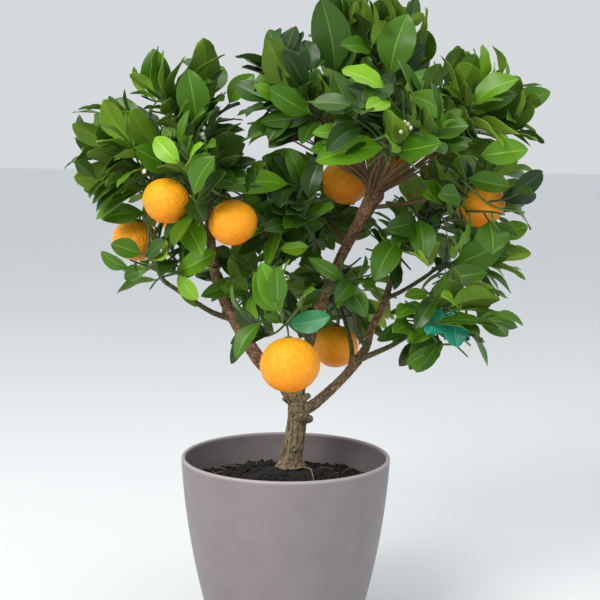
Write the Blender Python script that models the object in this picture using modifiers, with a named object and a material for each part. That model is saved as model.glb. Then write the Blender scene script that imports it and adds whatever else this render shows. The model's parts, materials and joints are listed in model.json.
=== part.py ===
"""Potted clementine tree: pot, soil, forked trunk, boughs and masses of leaves with their fruit.

Metres, +Z up, -Y is the front. The origin is the centre of the pot's flat underside.
"""
import math
import random
from dataclasses import dataclass

import bmesh
import bpy
from mathutils import Matrix, Vector
from mathutils.bvhtree import BVHTree

# Clearance between pieces that touch
GAP = 0.0003

# Pot: its outer side falls in a shallow curve from the rim to the foot
POT_HEIGHT = 0.200
RIM_RADIUS = 0.110
POT_SLOPE = 0.05
POT_BOW = 0.66
POT_WALL = 0.003
POT_FLOOR = 0.004
LIP_WIDTH = 0.0042
LIP_HEIGHT = 0.007
FOOT_ROUND = 0.004
TURN_STEPS = 28

# Soil: level at the wall and heaped round the trunk's foot
SOIL_DROP = 0.032
SOIL_HEAP = 0.012
TRUNK_FOOT = (0.005, 0.030)
SEAT_RADIUS = 0.021

# Limbs: the points of each route with the radius there, foot first
FOOT_LEVEL = POT_HEIGHT - SOIL_DROP + SOIL_HEAP + GAP
LIMBS = {
    "trunk": [
        (0.005, 0.030, FOOT_LEVEL, 0.0175),
        (0.005, 0.030, 0.187, 0.0130),
        (0.008, 0.030, 0.204, 0.0116),
        (0.011, 0.030, 0.226, 0.0106),
        (0.012, 0.028, 0.245, 0.0106),
        (0.011, 0.026, 0.261, 0.0092),
    ],
    "bough_left": [
        (0.011, 0.028, 0.249, 0.0082),
        (-0.008, 0.024, 0.278, 0.0078),
        (-0.029, 0.018, 0.298, 0.0074),
        (-0.048, 0.010, 0.330, 0.0070),
        (-0.063, 0.004, 0.358, 0.0062),
        (-0.073, 0.000, 0.384, 0.0055),
        (-0.078, -0.002, 0.411, 0.0052),
        (-0.081, 0.000, 0.442, 0.0048),
        (-0.082, 0.002, 0.468, 0.0042),
    ],
    "bough_centre": [
        (0.011, 0.026, 0.256, 0.0074),
        (0.017, 0.030, 0.284, 0.0066),
        (0.023, 0.034, 0.312, 0.0060),
        (0.036, 0.038, 0.356, 0.0058),
        (0.047, 0.036, 0.385, 0.0056),
        (0.057, 0.032, 0.409, 0.0056),
        (0.070, 0.028, 0.435, 0.0060),
        (0.082, 0.024, 0.458, 0.0080),
        (0.091, 0.022, 0.477, 0.0086),
        (0.094, 0.021, 0.486, 0.0060),
    ],
    "bough_right": [
        (0.012, 0.028, 0.241, 0.0066),
        (0.027, 0.024, 0.248, 0.0060),
        (0.047, 0.022, 0.266, 0.0054),
        (0.063, 0.024, 0.282, 0.0050),
        (0.075, 0.028, 0.297, 0.0056),
        (0.085, 0.034, 0.311, 0.0046),
        (0.090, 0.040, 0.328, 0.0042),
        (0.098, 0.046, 0.343, 0.0042),
        (0.104, 0.050, 0.356, 0.0040),
        (0.111, 0.058, 0.377, 0.0036),
        (0.116, 0.062, 0.396, 0.0032),
    ],
    "branch_left_low": [
        (-0.053, 0.008, 0.342, 0.0036),
        (-0.066, 0.004, 0.346, 0.0032),
        (-0.080, -0.006, 0.353, 0.0028),
        (-0.096, -0.018, 0.365, 0.0026),
        (-0.109, -0.026, 0.375, 0.0024),
        (-0.123, -0.032, 0.385, 0.0022),
    ],
    "branch_left_inner": [
        (-0.046, 0.010, 0.331, 0.0026),
        (-0.038, 0.012, 0.350, 0.0023),
        (-0.032, 0.012, 0.368, 0.0020),
    ],
    "branch_right_low": [
        (0.073, 0.027, 0.296, 0.0036),
        (0.086, 0.022, 0.303, 0.0032),
        (0.109, 0.014, 0.315, 0.0027),
        (0.124, 0.008, 0.325, 0.0024),
        (0.137, 0.004, 0.333, 0.0022),
    ],
    "branch_right_mid": [
        (0.106, 0.053, 0.361, 0.0028),
        (0.125, 0.048, 0.371, 0.0024),
        (0.148, 0.036, 0.388, 0.0022),
        (0.156, 0.030, 0.396, 0.0020),
    ],
    "branch_inner": [
        (0.085, 0.033, 0.311, 0.0028),
        (0.074, 0.024, 0.328, 0.0024),
        (0.070, 0.010, 0.350, 0.0021),
        (0.064, -0.008, 0.380, 0.0018),
    ],
    "branch_mid": [
        (0.045, 0.036, 0.380, 0.0036),
        (0.036, 0.031, 0.392, 0.0030),
        (0.029, 0.023, 0.410, 0.0026),
        (0.027, 0.014, 0.428, 0.0022),
    ],
    "branch_front": [
        (0.025, 0.034, 0.318, 0.0030),
        (0.017, 0.018, 0.326, 0.0026),
        (0.008, -0.006, 0.336, 0.0024),
        (0.001, -0.030, 0.346, 0.0022),
        (-0.003, -0.052, 0.353, 0.0020),
    ],
    "branch_back_low": [
        (0.068, 0.025, 0.288, 0.0032),
        (0.070, 0.048, 0.306, 0.0027),
        (0.064, 0.075, 0.330, 0.0023),
        (0.058, 0.090, 0.350, 0.0020),
    ],
    "branch_back": [
        (0.062, 0.030, 0.419, 0.0038),
        (0.056, 0.046, 0.428, 0.0032),
        (0.046, 0.072, 0.440, 0.0027),
        (0.038, 0.092, 0.450, 0.0023),
    ],
}
LIMB_SIDES = 8
BARK_STEP = 0.016

# Limbs whose feet are cut to fit against thicker ones
CUT_BY = {
    "bough_centre": ("trunk",),
    "bough_left": ("trunk", "bough_centre"),
    "bough_right": ("trunk",),
    "branch_left_low": ("bough_left",),
    "branch_left_inner": ("bough_left",),
    "branch_right_low": ("bough_right",),
    "branch_right_mid": ("bough_right",),
    "branch_inner": ("bough_right",),
    "branch_mid": ("bough_centre",),
    "branch_front": ("bough_centre",),
    "branch_back_low": ("bough_right",),
    "branch_back": ("bough_centre",),
}

# Leaves and twigs
LEAF_MEAN = 0.067
LEAF_SPREAD = 0.010
LEAF_RANGE = (0.040, 0.084)
LEAF_ASPECT = 0.62
LEAF_THICKNESS = 0.034
LEAF_STEP = 0.0115
LEAF_SINK = 0.0006
TWIG_RADII = (0.0019, 0.0013)
STEM_RADII = (0.0027, 0.0022)
TURN = math.radians(137.5)
SHRINKS = (1.0, 0.82, 0.66)
CLEAR = 0.0006
WELD = 0.0000002
FIRST_TWIG = 0.96
TWIG_STRETCH = 0.32
WHOLE_SHARE = 0.93
SOLVERS = ("EXACT", "MANIFOLD")
LEAF_SHARES = (1.0, 0.9, 0.8, 0.7, 0.6)
SPACE_MARGIN = 0.0008
SPACE_SPREAD = 1.12
TREE_AXIS = Vector((0.030, 0.020, 0.0))


@dataclass(frozen=True)
class Mass:
    """One mass of foliage: where its stem grows, its hub, its space and what leads out of it.

    A leading leaf is its root, its tip, its width and which side shows at the front. A fruit is
    its centre, its diameter and the way its stalk points.
    """
    limb: str
    along: float
    hub: tuple
    centre: tuple
    reach: tuple
    seed: int
    shoots: int = 9
    leading: tuple = ()
    fruits: tuple = ()


UPPER = 1
UNDER = -1

MASSES = {
    "foliage_left_outer": Mass(
        "bough_left", 0.93, (-0.134, -0.012, 0.500), (-0.160, -0.015, 0.515), (0.062, 0.065, 0.070), 11,
        leading=(
            ((-0.172, -0.010, 0.508), (-0.216, -0.020, 0.530), 0.026, UPPER),
            ((-0.178, 0.000, 0.484), (-0.211, 0.000, 0.477), 0.021, UPPER),
            ((-0.147, -0.010, 0.454), (-0.191, -0.020, 0.449), 0.022, UPPER),
            ((-0.154, 0.030, 0.548), (-0.182, 0.036, 0.572), 0.022, UPPER),
            ((-0.166, -0.020, 0.513), (-0.154, -0.030, 0.556), 0.023, UPPER),
        )),
    "foliage_left_top": Mass(
        "bough_left", 1.0, (-0.100, 0.010, 0.536), (-0.105, 0.010, 0.560), (0.062, 0.062, 0.070), 12,
        leading=(
            ((-0.130, 0.020, 0.567), (-0.140, 0.010, 0.622), 0.032, UPPER),
            ((-0.093, -0.010, 0.544), (-0.102, -0.020, 0.600), 0.034, UPPER),
            ((-0.062, 0.020, 0.567), (-0.036, 0.010, 0.597), 0.021, UPPER),
            ((-0.079, 0.040, 0.579), (-0.072, 0.050, 0.608), 0.021, UPPER),
        )),
    "foliage_left_front": Mass(
        "bough_left", 0.88, (-0.084, -0.040, 0.486), (-0.078, -0.070, 0.485), (0.070, 0.058, 0.070), 13,
        leading=(
            ((-0.092, -0.074, 0.484), (-0.074, -0.094, 0.516), 0.032, UPPER),
            ((-0.105, -0.048, 0.446), (-0.082, -0.078, 0.416), 0.028, UPPER),
            ((-0.115, -0.045, 0.500), (-0.148, -0.070, 0.520), 0.028, UPPER),
        ),
        fruits=(
            ((-0.119, -0.060, 0.469), 0.0486, (0.35, 0.30, 0.90)),
            ((-0.053, -0.070, 0.449), 0.0490, (-0.30, 0.35, 0.90)),
        )),
    "foliage_left_back": Mass(
        "bough_left", 0.84, (-0.112, 0.062, 0.478), (-0.120, 0.100, 0.500), (0.080, 0.070, 0.085), 14,
        shoots=12,
        fruits=(((-0.128, 0.104, 0.452), 0.0500, (0.10, -0.20, 0.95)),)),
    "foliage_left_low": Mass(
        "branch_left_low", 1.0, (-0.132, -0.032, 0.402), (-0.125, -0.025, 0.412), (0.062, 0.055, 0.055), 15,
        shoots=6,
        leading=(
            ((-0.148, -0.032, 0.414), (-0.178, -0.036, 0.424), 0.021, UPPER),
            ((-0.144, -0.030, 0.398), (-0.166, -0.026, 0.388), 0.018, UPPER),
            ((-0.093, 0.010, 0.419), (-0.108, 0.004, 0.386), 0.024, UPPER),
        ),
        fruits=(((-0.160, 0.015, 0.425), 0.0483, (0.20, -0.20, 0.95)),)),
    "foliage_left_inner": Mass(
        "branch_left_inner", 1.0, (-0.031, 0.014, 0.384), (-0.036, 0.012, 0.380), (0.062, 0.050, 0.052), 16,
        shoots=7,
        leading=(
            ((-0.034, 0.004, 0.378), (-0.088, -0.026, 0.371), 0.021, UPPER),
            ((-0.033, 0.020, 0.393), (-0.066, 0.028, 0.396), 0.025, UPPER),
        )),
    "foliage_mid": Mass(
        "branch_mid", 1.0, (0.006, -0.018, 0.458), (-0.008, -0.025, 0.462), (0.066, 0.060, 0.060), 17,
        leading=(
            ((0.002, -0.040, 0.486), (-0.063, -0.080, 0.484), 0.026, UPPER),
            ((0.017, -0.020, 0.456), (-0.031, -0.050, 0.464), 0.020, UPPER),
            ((0.021, -0.030, 0.423), (-0.007, -0.040, 0.421), 0.016, UPPER),
        )),
    "foliage_inner": Mass(
        "branch_inner", 1.0, (0.060, -0.018, 0.390), (0.050, -0.020, 0.395), (0.045, 0.045, 0.042), 18,
        shoots=3,
        leading=(
            ((0.058, -0.026, 0.390), (0.021, -0.045, 0.413), 0.016, UPPER),
            ((0.062, -0.022, 0.384), (0.080, -0.036, 0.352), 0.020, UPPER),
        )),
    "foliage_crown_left": Mass(
        "bough_centre", 0.965, (0.026, -0.008, 0.556), (-0.002, -0.008, 0.575), (0.068, 0.064, 0.066), 19,
        shoots=11,
        leading=(
            ((0.022, -0.020, 0.568), (-0.022, -0.044, 0.629), 0.038, UNDER),
            ((0.022, -0.040, 0.556), (-0.021, -0.058, 0.580), 0.028, UPPER),
        )),
    "foliage_crown_top": Mass(
        "bough_centre", 1.0, (0.078, 0.012, 0.590), (0.080, 0.010, 0.622), (0.072, 0.066, 0.064), 20,
        shoots=12,
        leading=(
            ((0.046, -0.018, 0.596), (0.031, -0.034, 0.669), 0.040, UPPER),
            ((0.066, 0.018, 0.640), (0.068, 0.020, 0.683), 0.028, UPPER),
            ((0.101, -0.030, 0.594), (0.117, -0.034, 0.655), 0.038, UPPER),
            ((0.131, 0.014, 0.606), (0.142, 0.012, 0.643), 0.028, UPPER),
        )),
    "foliage_crown_front": Mass(
        "bough_centre", 0.93, (0.104, -0.060, 0.530), (0.098, -0.085, 0.542), (0.074, 0.060, 0.066), 21,
        shoots=9,
        leading=(
            ((0.094, -0.088, 0.524), (0.026, -0.120, 0.510), 0.030, UPPER),
            ((0.104, -0.092, 0.520), (0.142, -0.130, 0.528), 0.029, UPPER),
            ((0.134, -0.090, 0.540), (0.170, -0.110, 0.544), 0.025, UPPER),
            ((0.149, -0.080, 0.553), (0.115, -0.100, 0.573), 0.025, UPPER),
            ((0.100, -0.084, 0.584), (0.070, -0.110, 0.565), 0.025, UPPER),
        )),
    "foliage_crown_right": Mass(
        "bough_centre", 0.955, (0.176, 0.000, 0.546), (0.190, -0.004, 0.562), (0.074, 0.066, 0.062), 22,
        shoots=11,
        leading=(
            ((0.219, 0.000, 0.563), (0.267, 0.000, 0.582), 0.025, UPPER),
            ((0.203, 0.002, 0.561), (0.218, 0.000, 0.600), 0.025, UPPER),
            ((0.192, -0.030, 0.516), (0.239, -0.040, 0.523), 0.028, UPPER),
            ((0.163, 0.024, 0.590), (0.182, 0.034, 0.626), 0.019, UPPER),
        )),
    "foliage_crown_back": Mass(
        "bough_centre", 0.94, (0.094, 0.082, 0.548), (0.095, 0.115, 0.565), (0.084, 0.070, 0.082), 23,
        shoots=12,
        fruits=(((0.112, 0.128, 0.508), 0.0520, (-0.10, -0.25, 0.95)),)),
    "foliage_right_side": Mass(
        "bough_centre", 0.89, (0.180, -0.006, 0.486), (0.194, -0.006, 0.476), (0.066, 0.066, 0.056), 24,
        shoots=8,
        leading=(
            ((0.180, -0.030, 0.494), (0.223, -0.036, 0.486), 0.023, UPPER),
            ((0.172, -0.046, 0.473), (0.147, -0.070, 0.478), 0.022, UPPER),
            ((0.205, -0.018, 0.450), (0.208, -0.032, 0.417), 0.033, UPPER),
            ((0.220, 0.010, 0.432), (0.250, 0.010, 0.444), 0.021, UPPER),
        ),
        fruits=(((0.200, 0.010, 0.466), 0.0523, (-0.40, 0.00, 0.90)),)),
    "foliage_right_back": Mass(
        "bough_right", 1.0, (0.150, 0.084, 0.440), (0.180, 0.108, 0.462), (0.080, 0.064, 0.082), 25,
        shoots=13),
    "foliage_right_inner": Mass(
        "bough_right", 0.95, (0.118, 0.026, 0.424), (0.112, 0.006, 0.424), (0.052, 0.052, 0.050), 26,
        shoots=6,
        leading=(
            ((0.116, 0.006, 0.430), (0.089, -0.024, 0.388), 0.030, UPPER),
            ((0.136, 0.000, 0.450), (0.140, -0.022, 0.410), 0.028, UPPER),
        )),
    "foliage_right_mid": Mass(
        "branch_right_mid", 1.0, (0.170, 0.026, 0.402), (0.192, 0.030, 0.400), (0.062, 0.052, 0.040), 27,
        shoots=6,
        leading=(
            ((0.193, 0.020, 0.408), (0.231, 0.010, 0.412), 0.021, UPPER),
            ((0.160, 0.010, 0.389), (0.208, 0.000, 0.396), 0.024, UPPER),
        )),
    "foliage_right_low": Mass(
        "branch_right_low", 1.0, (0.158, -0.008, 0.350), (0.168, -0.020, 0.346), (0.074, 0.058, 0.058), 28,
        shoots=8,
        leading=(
            ((0.158, -0.026, 0.360), (0.142, -0.050, 0.337), 0.030, UPPER),
            ((0.168, -0.030, 0.358), (0.172, -0.048, 0.324), 0.028, UPPER),
            ((0.194, -0.010, 0.360), (0.229, -0.012, 0.331), 0.023, UPPER),
            ((0.147, -0.018, 0.334), (0.134, -0.025, 0.294), 0.030, UPPER),
        )),
    "foliage_back_mid": Mass(
        "branch_back", 1.0, (0.032, 0.106, 0.462), (0.022, 0.118, 0.452), (0.076, 0.072, 0.072), 29,
        shoots=12,
        fruits=(((0.062, 0.075, 0.487), 0.0550, (0.00, 0.35, 0.90)),)),
    "foliage_back_low": Mass(
        "branch_back_low", 1.0, (0.056, 0.100, 0.364), (0.058, 0.108, 0.350), (0.066, 0.056, 0.062), 30,
        shoots=7,
        fruits=(((0.054, 0.100, 0.301), 0.0525, (0.05, 0.10, 0.95)),)),
    "foliage_front_fruit": Mass(
        "branch_front", 1.0, (-0.002, -0.068, 0.352), (0.004, -0.078, 0.345), (0.062, 0.050, 0.075), 31,
        shoots=0,
        leading=(
            ((-0.004, -0.076, 0.362), (-0.030, -0.096, 0.403), 0.030, UPPER),
            ((0.002, -0.076, 0.350), (0.043, -0.090, 0.360), 0.023, UPPER),
            ((-0.006, -0.076, 0.352), (-0.022, -0.088, 0.360), 0.010, UPPER),
        ),
        fruits=(((0.004, -0.085, 0.311), 0.0600, (-0.05, 0.15, 0.95)),)),
}
FRUIT_SQUASH = 0.92
FRUIT_ROUNDS = 2


@dataclass
class Leaf:
    """A leaf by its root, its tip, the way its upper face looks and its width."""
    root: Vector
    tip: Vector
    face: Vector
    width: float


@dataclass
class Twig:
    """A bent twig by the points along it and the radius at each."""
    route: list
    radii: list


@dataclass
class Fruit:
    """A fruit by its centre, its diameter across and the way its stalk points."""
    centre: Vector
    diameter: float
    axis: Vector


def pot_radius(depth):
    """Outer radius of the pot at a depth below its rim."""
    return RIM_RADIUS - POT_SLOPE * depth - POT_BOW * depth ** 2


def smooth_route(points, step):
    """Points with radii along a smooth curve through the given ones, about a step apart."""
    knots = [Vector(p) for p in points]
    knots = [knots[0] * 2 - knots[1]] + knots + [knots[-1] * 2 - knots[-2]]
    out = []
    for a, b, c, d in zip(knots, knots[1:], knots[2:], knots[3:]):
        count = max(1, round((c.xyz - b.xyz).length / step))
        for k in range(count):
            t = k / count
            out.append(0.5 * (2 * b + (c - a) * t + (2 * a - 5 * b + 4 * c - d) * t ** 2
                              + (3 * b - a - 3 * c + d) * t ** 3))
    out.append(knots[-2])
    return [p.xyz for p in out], [p.w for p in out]


def sweep(route, radii, sides, extra=0.0):
    """Vertices and faces of a closed tapering tube with the given number of sides."""
    verts, faces = [], []
    tangents = [(b - a).normalized() for a, b in zip(route, route[1:])]
    tangents = [tangents[0]] + [(a + b).normalized() for a, b in zip(tangents, tangents[1:])] + [tangents[-1]]
    side = tangents[0].orthogonal().normalized()
    for point, tangent, radius in zip(route, tangents, radii):
        side = (side - tangent * side.dot(tangent)).normalized()
        other = tangent.cross(side)
        for k in range(sides):
            angle = 2 * math.pi * k / sides
            verts.append(point + (side * math.cos(angle) + other * math.sin(angle)) * (radius + extra))
    for ring in range(len(route) - 1):
        for k in range(sides):
            a = ring * sides + k
            b = ring * sides + (k + 1) % sides
            faces.append((a, b, b + sides, a + sides))
    faces.append(tuple(reversed(range(sides))))
    faces.append(tuple(range(len(verts) - sides, len(verts))))
    return verts, faces


def sphere_form(u_segments, v_segments):
    """Vertices and faces of a unit sphere primitive."""
    bm = bmesh.new()
    bmesh.ops.create_uvsphere(bm, u_segments=u_segments, v_segments=v_segments, radius=1.0)
    verts = [v.co.copy() for v in bm.verts]
    faces = [tuple(v.index for v in f.verts) for f in bm.faces]
    bm.free()
    return verts, faces


LEAF_FORM = sphere_form(4, 2)
POLE_SHIFT = -0.20


def leaf_shape(leaf, extra=0.0):
    """A four-sided squashed sphere with its thick part towards the root, which is sunk back."""
    along = leaf.tip - leaf.root
    length = along.length + LEAF_SINK
    x = along.normalized()
    y = leaf.face.cross(x).normalized()
    z = x.cross(y)
    middle = leaf.root + x * (length / 2 - LEAF_SINK)
    half = Vector((length, leaf.width, length * LEAF_THICKNESS)) / 2 + Vector((extra, extra, extra))
    verts = []
    for v in LEAF_FORM[0]:
        shift = POLE_SHIFT * half.x * abs(v.z)
        verts.append(middle + x * (v.x * half.x + shift) + y * v.y * half.y + z * v.z * half.z)
    return verts, LEAF_FORM[1]


def fruit_shape(fruit, extra=0.0):
    """A fruit as a round form, a little flattened along its stalk."""
    bm = bmesh.new()
    bmesh.ops.create_icosphere(bm, subdivisions=FRUIT_ROUNDS, radius=fruit.diameter / 2 + extra)
    turn = fruit.axis.to_track_quat("Z", "Y").to_matrix().to_4x4()
    squash = Matrix.Diagonal((1, 1, FRUIT_SQUASH, 1))
    bmesh.ops.transform(bm, matrix=Matrix.Translation(fruit.centre) @ turn @ squash, verts=bm.verts)
    verts = [v.co.copy() for v in bm.verts]
    faces = [tuple(v.index for v in f.verts) for f in bm.faces]
    bm.free()
    return verts, faces


def tree_of(shapes):
    """One search tree for touching tests over several shapes."""
    verts, faces = [], []
    for shape_verts, shape_faces in shapes:
        start = len(verts)
        verts.extend(shape_verts)
        faces.extend(tuple(i + start for i in f) for f in shape_faces)
    return BVHTree.FromPolygons(verts, faces)


def bend(start, end, pull, count):
    """Points of a curve from start to end whose middle is drawn towards the pull point."""
    out = []
    for k in range(count):
        t = k / (count - 1)
        out.append(start * (1 - t) ** 2 + pull * 2 * t * (1 - t) + end * t ** 2)
    return out


def taper(radii, count):
    """Evenly falling radii."""
    return [radii[0] + (radii[1] - radii[0]) * k / (count - 1) for k in range(count)]


def along_route(route, t):
    """The point and the direction at a fraction of a route's length."""
    lengths = [(b - a).length for a, b in zip(route, route[1:])]
    left = max(0.0, min(1.0, t)) * sum(lengths)
    for a, b, length in zip(route, route[1:], lengths):
        if left <= length + 1e-9:
            return a + (b - a) * (left / length), (b - a).normalized()
        left -= length
    return route[-1], (route[-1] - route[-2]).normalized()


class Growth:
    """Grows every mass's stem, twigs, leaves and fruit, each kept clear of the rest."""

    def __init__(self):
        self.limbs = {}
        for name, points in LIMBS.items():
            self.limbs[name] = smooth_route(points, BARK_STEP)
        fat_limbs = [sweep(*limb, LIMB_SIDES, CLEAR) for limb in self.limbs.values()]
        self.limb_tree = tree_of(fat_limbs)
        self.stems = {name: self.stem(mass) for name, mass in MASSES.items()}
        self.fruits = {}
        for name, mass in MASSES.items():
            self.fruits[name] = [Fruit(Vector(c), d, Vector(a).normalized()) for c, d, a in mass.fruits]
        self.twigs = {name: [] for name in MASSES}
        self.leaves = {name: [] for name in MASSES}
        self.grown = []
        self.fruit_tree = tree_of([fruit_shape(f, CLEAR) for group in self.fruits.values() for f in group])

    def stem(self, mass):
        """A mass's stem, from inside its limb to its hub."""
        route, radii = self.limbs[mass.limb]
        foot, direction = along_route(route, mass.along)
        hub = Vector(mass.hub)
        if mass.along == 1.0:
            foot = foot - direction * STEM_RADII[0]
            pull = foot + direction * (hub - foot).length * 0.5
        else:
            pull = foot.lerp(hub, 0.5) + Vector((0, 0, -0.10)) * (hub - foot).length
        return Twig(bend(foot, hub, pull, 5), taper(STEM_RADII, 5))

    def in_space(self, name, point):
        """Whether a point lies in a mass's own space, nearer its centre than any other's."""
        mass = MASSES[name]
        centre = Vector(mass.centre)
        offset = point - centre
        if sum((o / r) ** 2 for o, r in zip(offset, mass.reach)) > SPACE_SPREAD ** 2:
            return False
        for other_name, other in MASSES.items():
            if other_name == name:
                continue
            other_centre = Vector(other.centre)
            way = other_centre - centre
            if (point - (centre + other_centre) / 2).dot(way) > -SPACE_MARGIN * way.length:
                return False
        return True

    def touches(self, name, shape, host=None):
        """Whether a shape touches a limb, a fruit, another stem or anything grown so far."""
        tree = tree_of([shape])
        if tree.overlap(self.limb_tree) or tree.overlap(self.fruit_tree):
            return True
        low = [min(v[i] for v in shape[0]) for i in range(3)]
        high = [max(v[i] for v in shape[0]) for i in range(3)]
        for owner, thing, box, other in self.grown:
            if owner == name and thing is host:
                continue
            if any(low[i] > box[1][i] or high[i] < box[0][i] for i in range(3)):
                continue
            if tree.overlap(other):
                return True
        return False

    def keep(self, name, thing, shape):
        """Remembers a grown thing's shape for later tests."""
        low = [min(v[i] for v in shape[0]) for i in range(3)]
        high = [max(v[i] for v in shape[0]) for i in range(3)]
        self.grown.append((name, thing, (low, high), tree_of([shape])))

    def grow_twig(self, name, start, end, heading, rng, test=True):
        """Adds a twig that leaves the hub for its end, arriving along the heading."""
        span = (end - start).length
        pull = end - heading * span * 0.45
        pull += Vector([rng.uniform(-0.08, 0.08) * span for _ in range(3)])
        twig = Twig(bend(start, end, pull, 3), taper(TWIG_RADII, 3))
        shape = sweep(twig.route, twig.radii, 3)
        if test:
            if not self.in_space(name, end):
                return None
            body = sweep(twig.route[1:], [r + CLEAR for r in twig.radii[1:]], 3)
            if self.touches(name, body, self.stems[name]):
                return None
        self.twigs[name].append(twig)
        self.keep(name, twig, shape)
        return twig

    def grow_leaf(self, name, leaf, host, test=True):
        """Adds a leaf if it stays in its mass's space and touches nothing but its twig."""
        shape = leaf_shape(leaf)
        if test:
            if not all(self.in_space(name, v) for v in shape[0]):
                return False
            if self.touches(name, leaf_shape(leaf, CLEAR), host):
                return False
        self.leaves[name].append(leaf)
        self.keep(name, leaf, shape)
        return True

    def facing(self, root, heading, turn, rng):
        """The way a leaf's upper face looks: up, out from the tree and towards its twig's tip."""
        out = (root - TREE_AXIS) * Vector((1, 1, 0))
        look = Vector((0, 0, 0.55)) + out.normalized() * 0.65 + turn * 0.35
        look += Vector([rng.uniform(-0.30, 0.30) for _ in range(3)])
        look -= heading * look.dot(heading)
        return look.normalized()

    def leaf_along(self, name, twig, t, angle, rng):
        """Tries a leaf at a place along a twig, turning and shrinking it until it fits."""
        point, direction = along_route(twig.route, t)
        side = direction.orthogonal().normalized()
        other = direction.cross(side)
        size = min(max(rng.gauss(LEAF_MEAN, LEAF_SPREAD), LEAF_RANGE[0]), LEAF_RANGE[1])
        aspect = LEAF_ASPECT * rng.uniform(0.88, 1.12)
        spread = math.radians(rng.uniform(38, 62))
        for attempt in range(15):
            length = size * SHRINKS[attempt // 5]
            around = angle + attempt * math.radians(52)
            radial = side * math.cos(around) + other * math.sin(around)
            heading = (direction * math.cos(spread) + radial * math.sin(spread)).normalized()
            face = self.facing(point, heading, direction, rng)
            leaf = Leaf(point, point + heading * length, face, length * aspect)
            if self.grow_leaf(name, leaf, twig):
                return

    def leaf_at_end(self, name, twig, rng):
        """Tries a leaf that carries on from a twig's tip."""
        point, direction = along_route(twig.route, 1.0)
        size = min(max(rng.gauss(LEAF_MEAN, LEAF_SPREAD), LEAF_RANGE[0]), LEAF_RANGE[1])
        for shrink in SHRINKS:
            wander = Vector([rng.uniform(-0.25, 0.25) for _ in range(3)])
            heading = (direction + wander).normalized()
            root = point - direction * 0.0022
            face = self.facing(root, heading, direction, rng)
            leaf = Leaf(root, root + heading * size * shrink, face, size * shrink * LEAF_ASPECT)
            if self.grow_leaf(name, leaf, twig):
                return

    def twig_start(self, name, number):
        """The place on a mass's stem where its numbered twig begins, the first near the hub."""
        mass = MASSES[name]
        count = len(mass.fruits) + len(mass.leading) + mass.shoots
        return along_route(self.stems[name].route, FIRST_TWIG - TWIG_STRETCH * number / count)[0]

    def lead(self, name):
        """Grows a mass's fruit stalks and the leading leaves that give the crown its outline."""
        mass = MASSES[name]
        rng = random.Random(mass.seed)
        for number, fruit in enumerate(self.fruits[name]):
            hub = self.twig_start(name, number)
            top = fruit.centre + fruit.axis * fruit.diameter / 2 * FRUIT_SQUASH * 0.82
            pull = top + fruit.axis * max(0.018, (top - hub).length * 0.5)
            twig = Twig(bend(hub, top, pull, 5), taper(TWIG_RADII, 5))
            self.twigs[name].append(twig)
            self.keep(name, twig, sweep(twig.route, twig.radii, 3))
        for number, (root, tip, width, side) in enumerate(mass.leading):
            hub = self.twig_start(name, len(mass.fruits) + number)
            root = Vector(root)
            tip = Vector(tip)
            heading = (tip - root).normalized()
            twig = self.grow_twig(name, hub, root, heading, rng, test=False)
            face = Vector((0, -1.0, 0.35)) * side
            face -= heading * face.dot(heading)
            leaf = Leaf(root - heading * 0.0022, tip, face.normalized(), width)
            self.grow_leaf(name, leaf, twig, test=False)

    def fill(self, name):
        """Grows the rest of a mass: twigs spread evenly in all directions with leaves along them."""
        mass = MASSES[name]
        rng = random.Random(mass.seed + 1000)
        centre = Vector(mass.centre)
        for twig in list(self.twigs[name])[len(self.fruits[name]):]:
            self.clothe(name, twig, rng, ended=True)
        phase = rng.uniform(0, 2 * math.pi)
        for k in range(mass.shoots):
            hub = self.twig_start(name, len(mass.fruits) + len(mass.leading) + k)
            rise = 1 - 2 * (k + 0.5) / mass.shoots
            angle = phase + TURN * k
            flat = math.sqrt(1 - rise * rise)
            direction = Vector((math.cos(angle) * flat, math.sin(angle) * flat, rise))
            for shrink in (0.62, 0.48, 0.34):
                end = centre + direction * Vector(mass.reach) * shrink
                if (end - hub).length < 0.012:
                    continue
                heading = (direction + Vector((0, 0, 0.35))).normalized()
                twig = self.grow_twig(name, hub, end, heading, rng)
                if twig:
                    if not self.clothe(name, twig, rng, ended=False):
                        self.twigs[name].pop()
                        self.grown.pop()
                    break

    def clothe(self, name, twig, rng, ended):
        """Sets leaves along a twig, each turned on from the last, and returns how many grew."""
        before = len(self.leaves[name])
        length = sum((b - a).length for a, b in zip(twig.route, twig.route[1:]))
        if not ended:
            self.leaf_at_end(name, twig, rng)
        angle = rng.uniform(0, 2 * math.pi)
        back = LEAF_STEP * rng.uniform(0.6, 1.0)
        while back < length * 0.72:
            self.leaf_along(name, twig, 1 - back / length, angle, rng)
            angle += TURN
            back += LEAF_STEP * rng.uniform(0.9, 1.2)
        return len(self.leaves[name]) - before

    def grow(self):
        """Stems first, then what leads, then the filling of every mass."""
        for name, stem in self.stems.items():
            self.keep(name, stem, sweep(stem.route, stem.radii, 5))
        for name in MASSES:
            self.lead(name)
        for name in MASSES:
            self.fill(name)


def collection(name):
    """A new collection in the scene."""
    new = bpy.data.collections.new(name)
    bpy.context.scene.collection.children.link(new)
    return new


def material(name, colour, roughness, metallic=0.0):
    """A plain Principled material."""
    made = bpy.data.materials.new(name)
    made.use_nodes = True
    shader = made.node_tree.nodes["Principled BSDF"]
    shader.inputs["Base Color"].default_value = (*colour, 1.0)
    shader.inputs["Roughness"].default_value = roughness
    shader.inputs["Metallic"].default_value = metallic
    return made


def mesh_object(name, shape, home, finish=None):
    """An object with the given vertices and faces."""
    mesh = bpy.data.meshes.new(name)
    mesh.from_pydata([tuple(v) for v in shape[0]], [], shape[1])
    mesh.validate()
    made = bpy.data.objects.new(name, mesh)
    home.objects.link(made)
    if finish:
        mesh.materials.append(finish)
    return made


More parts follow.
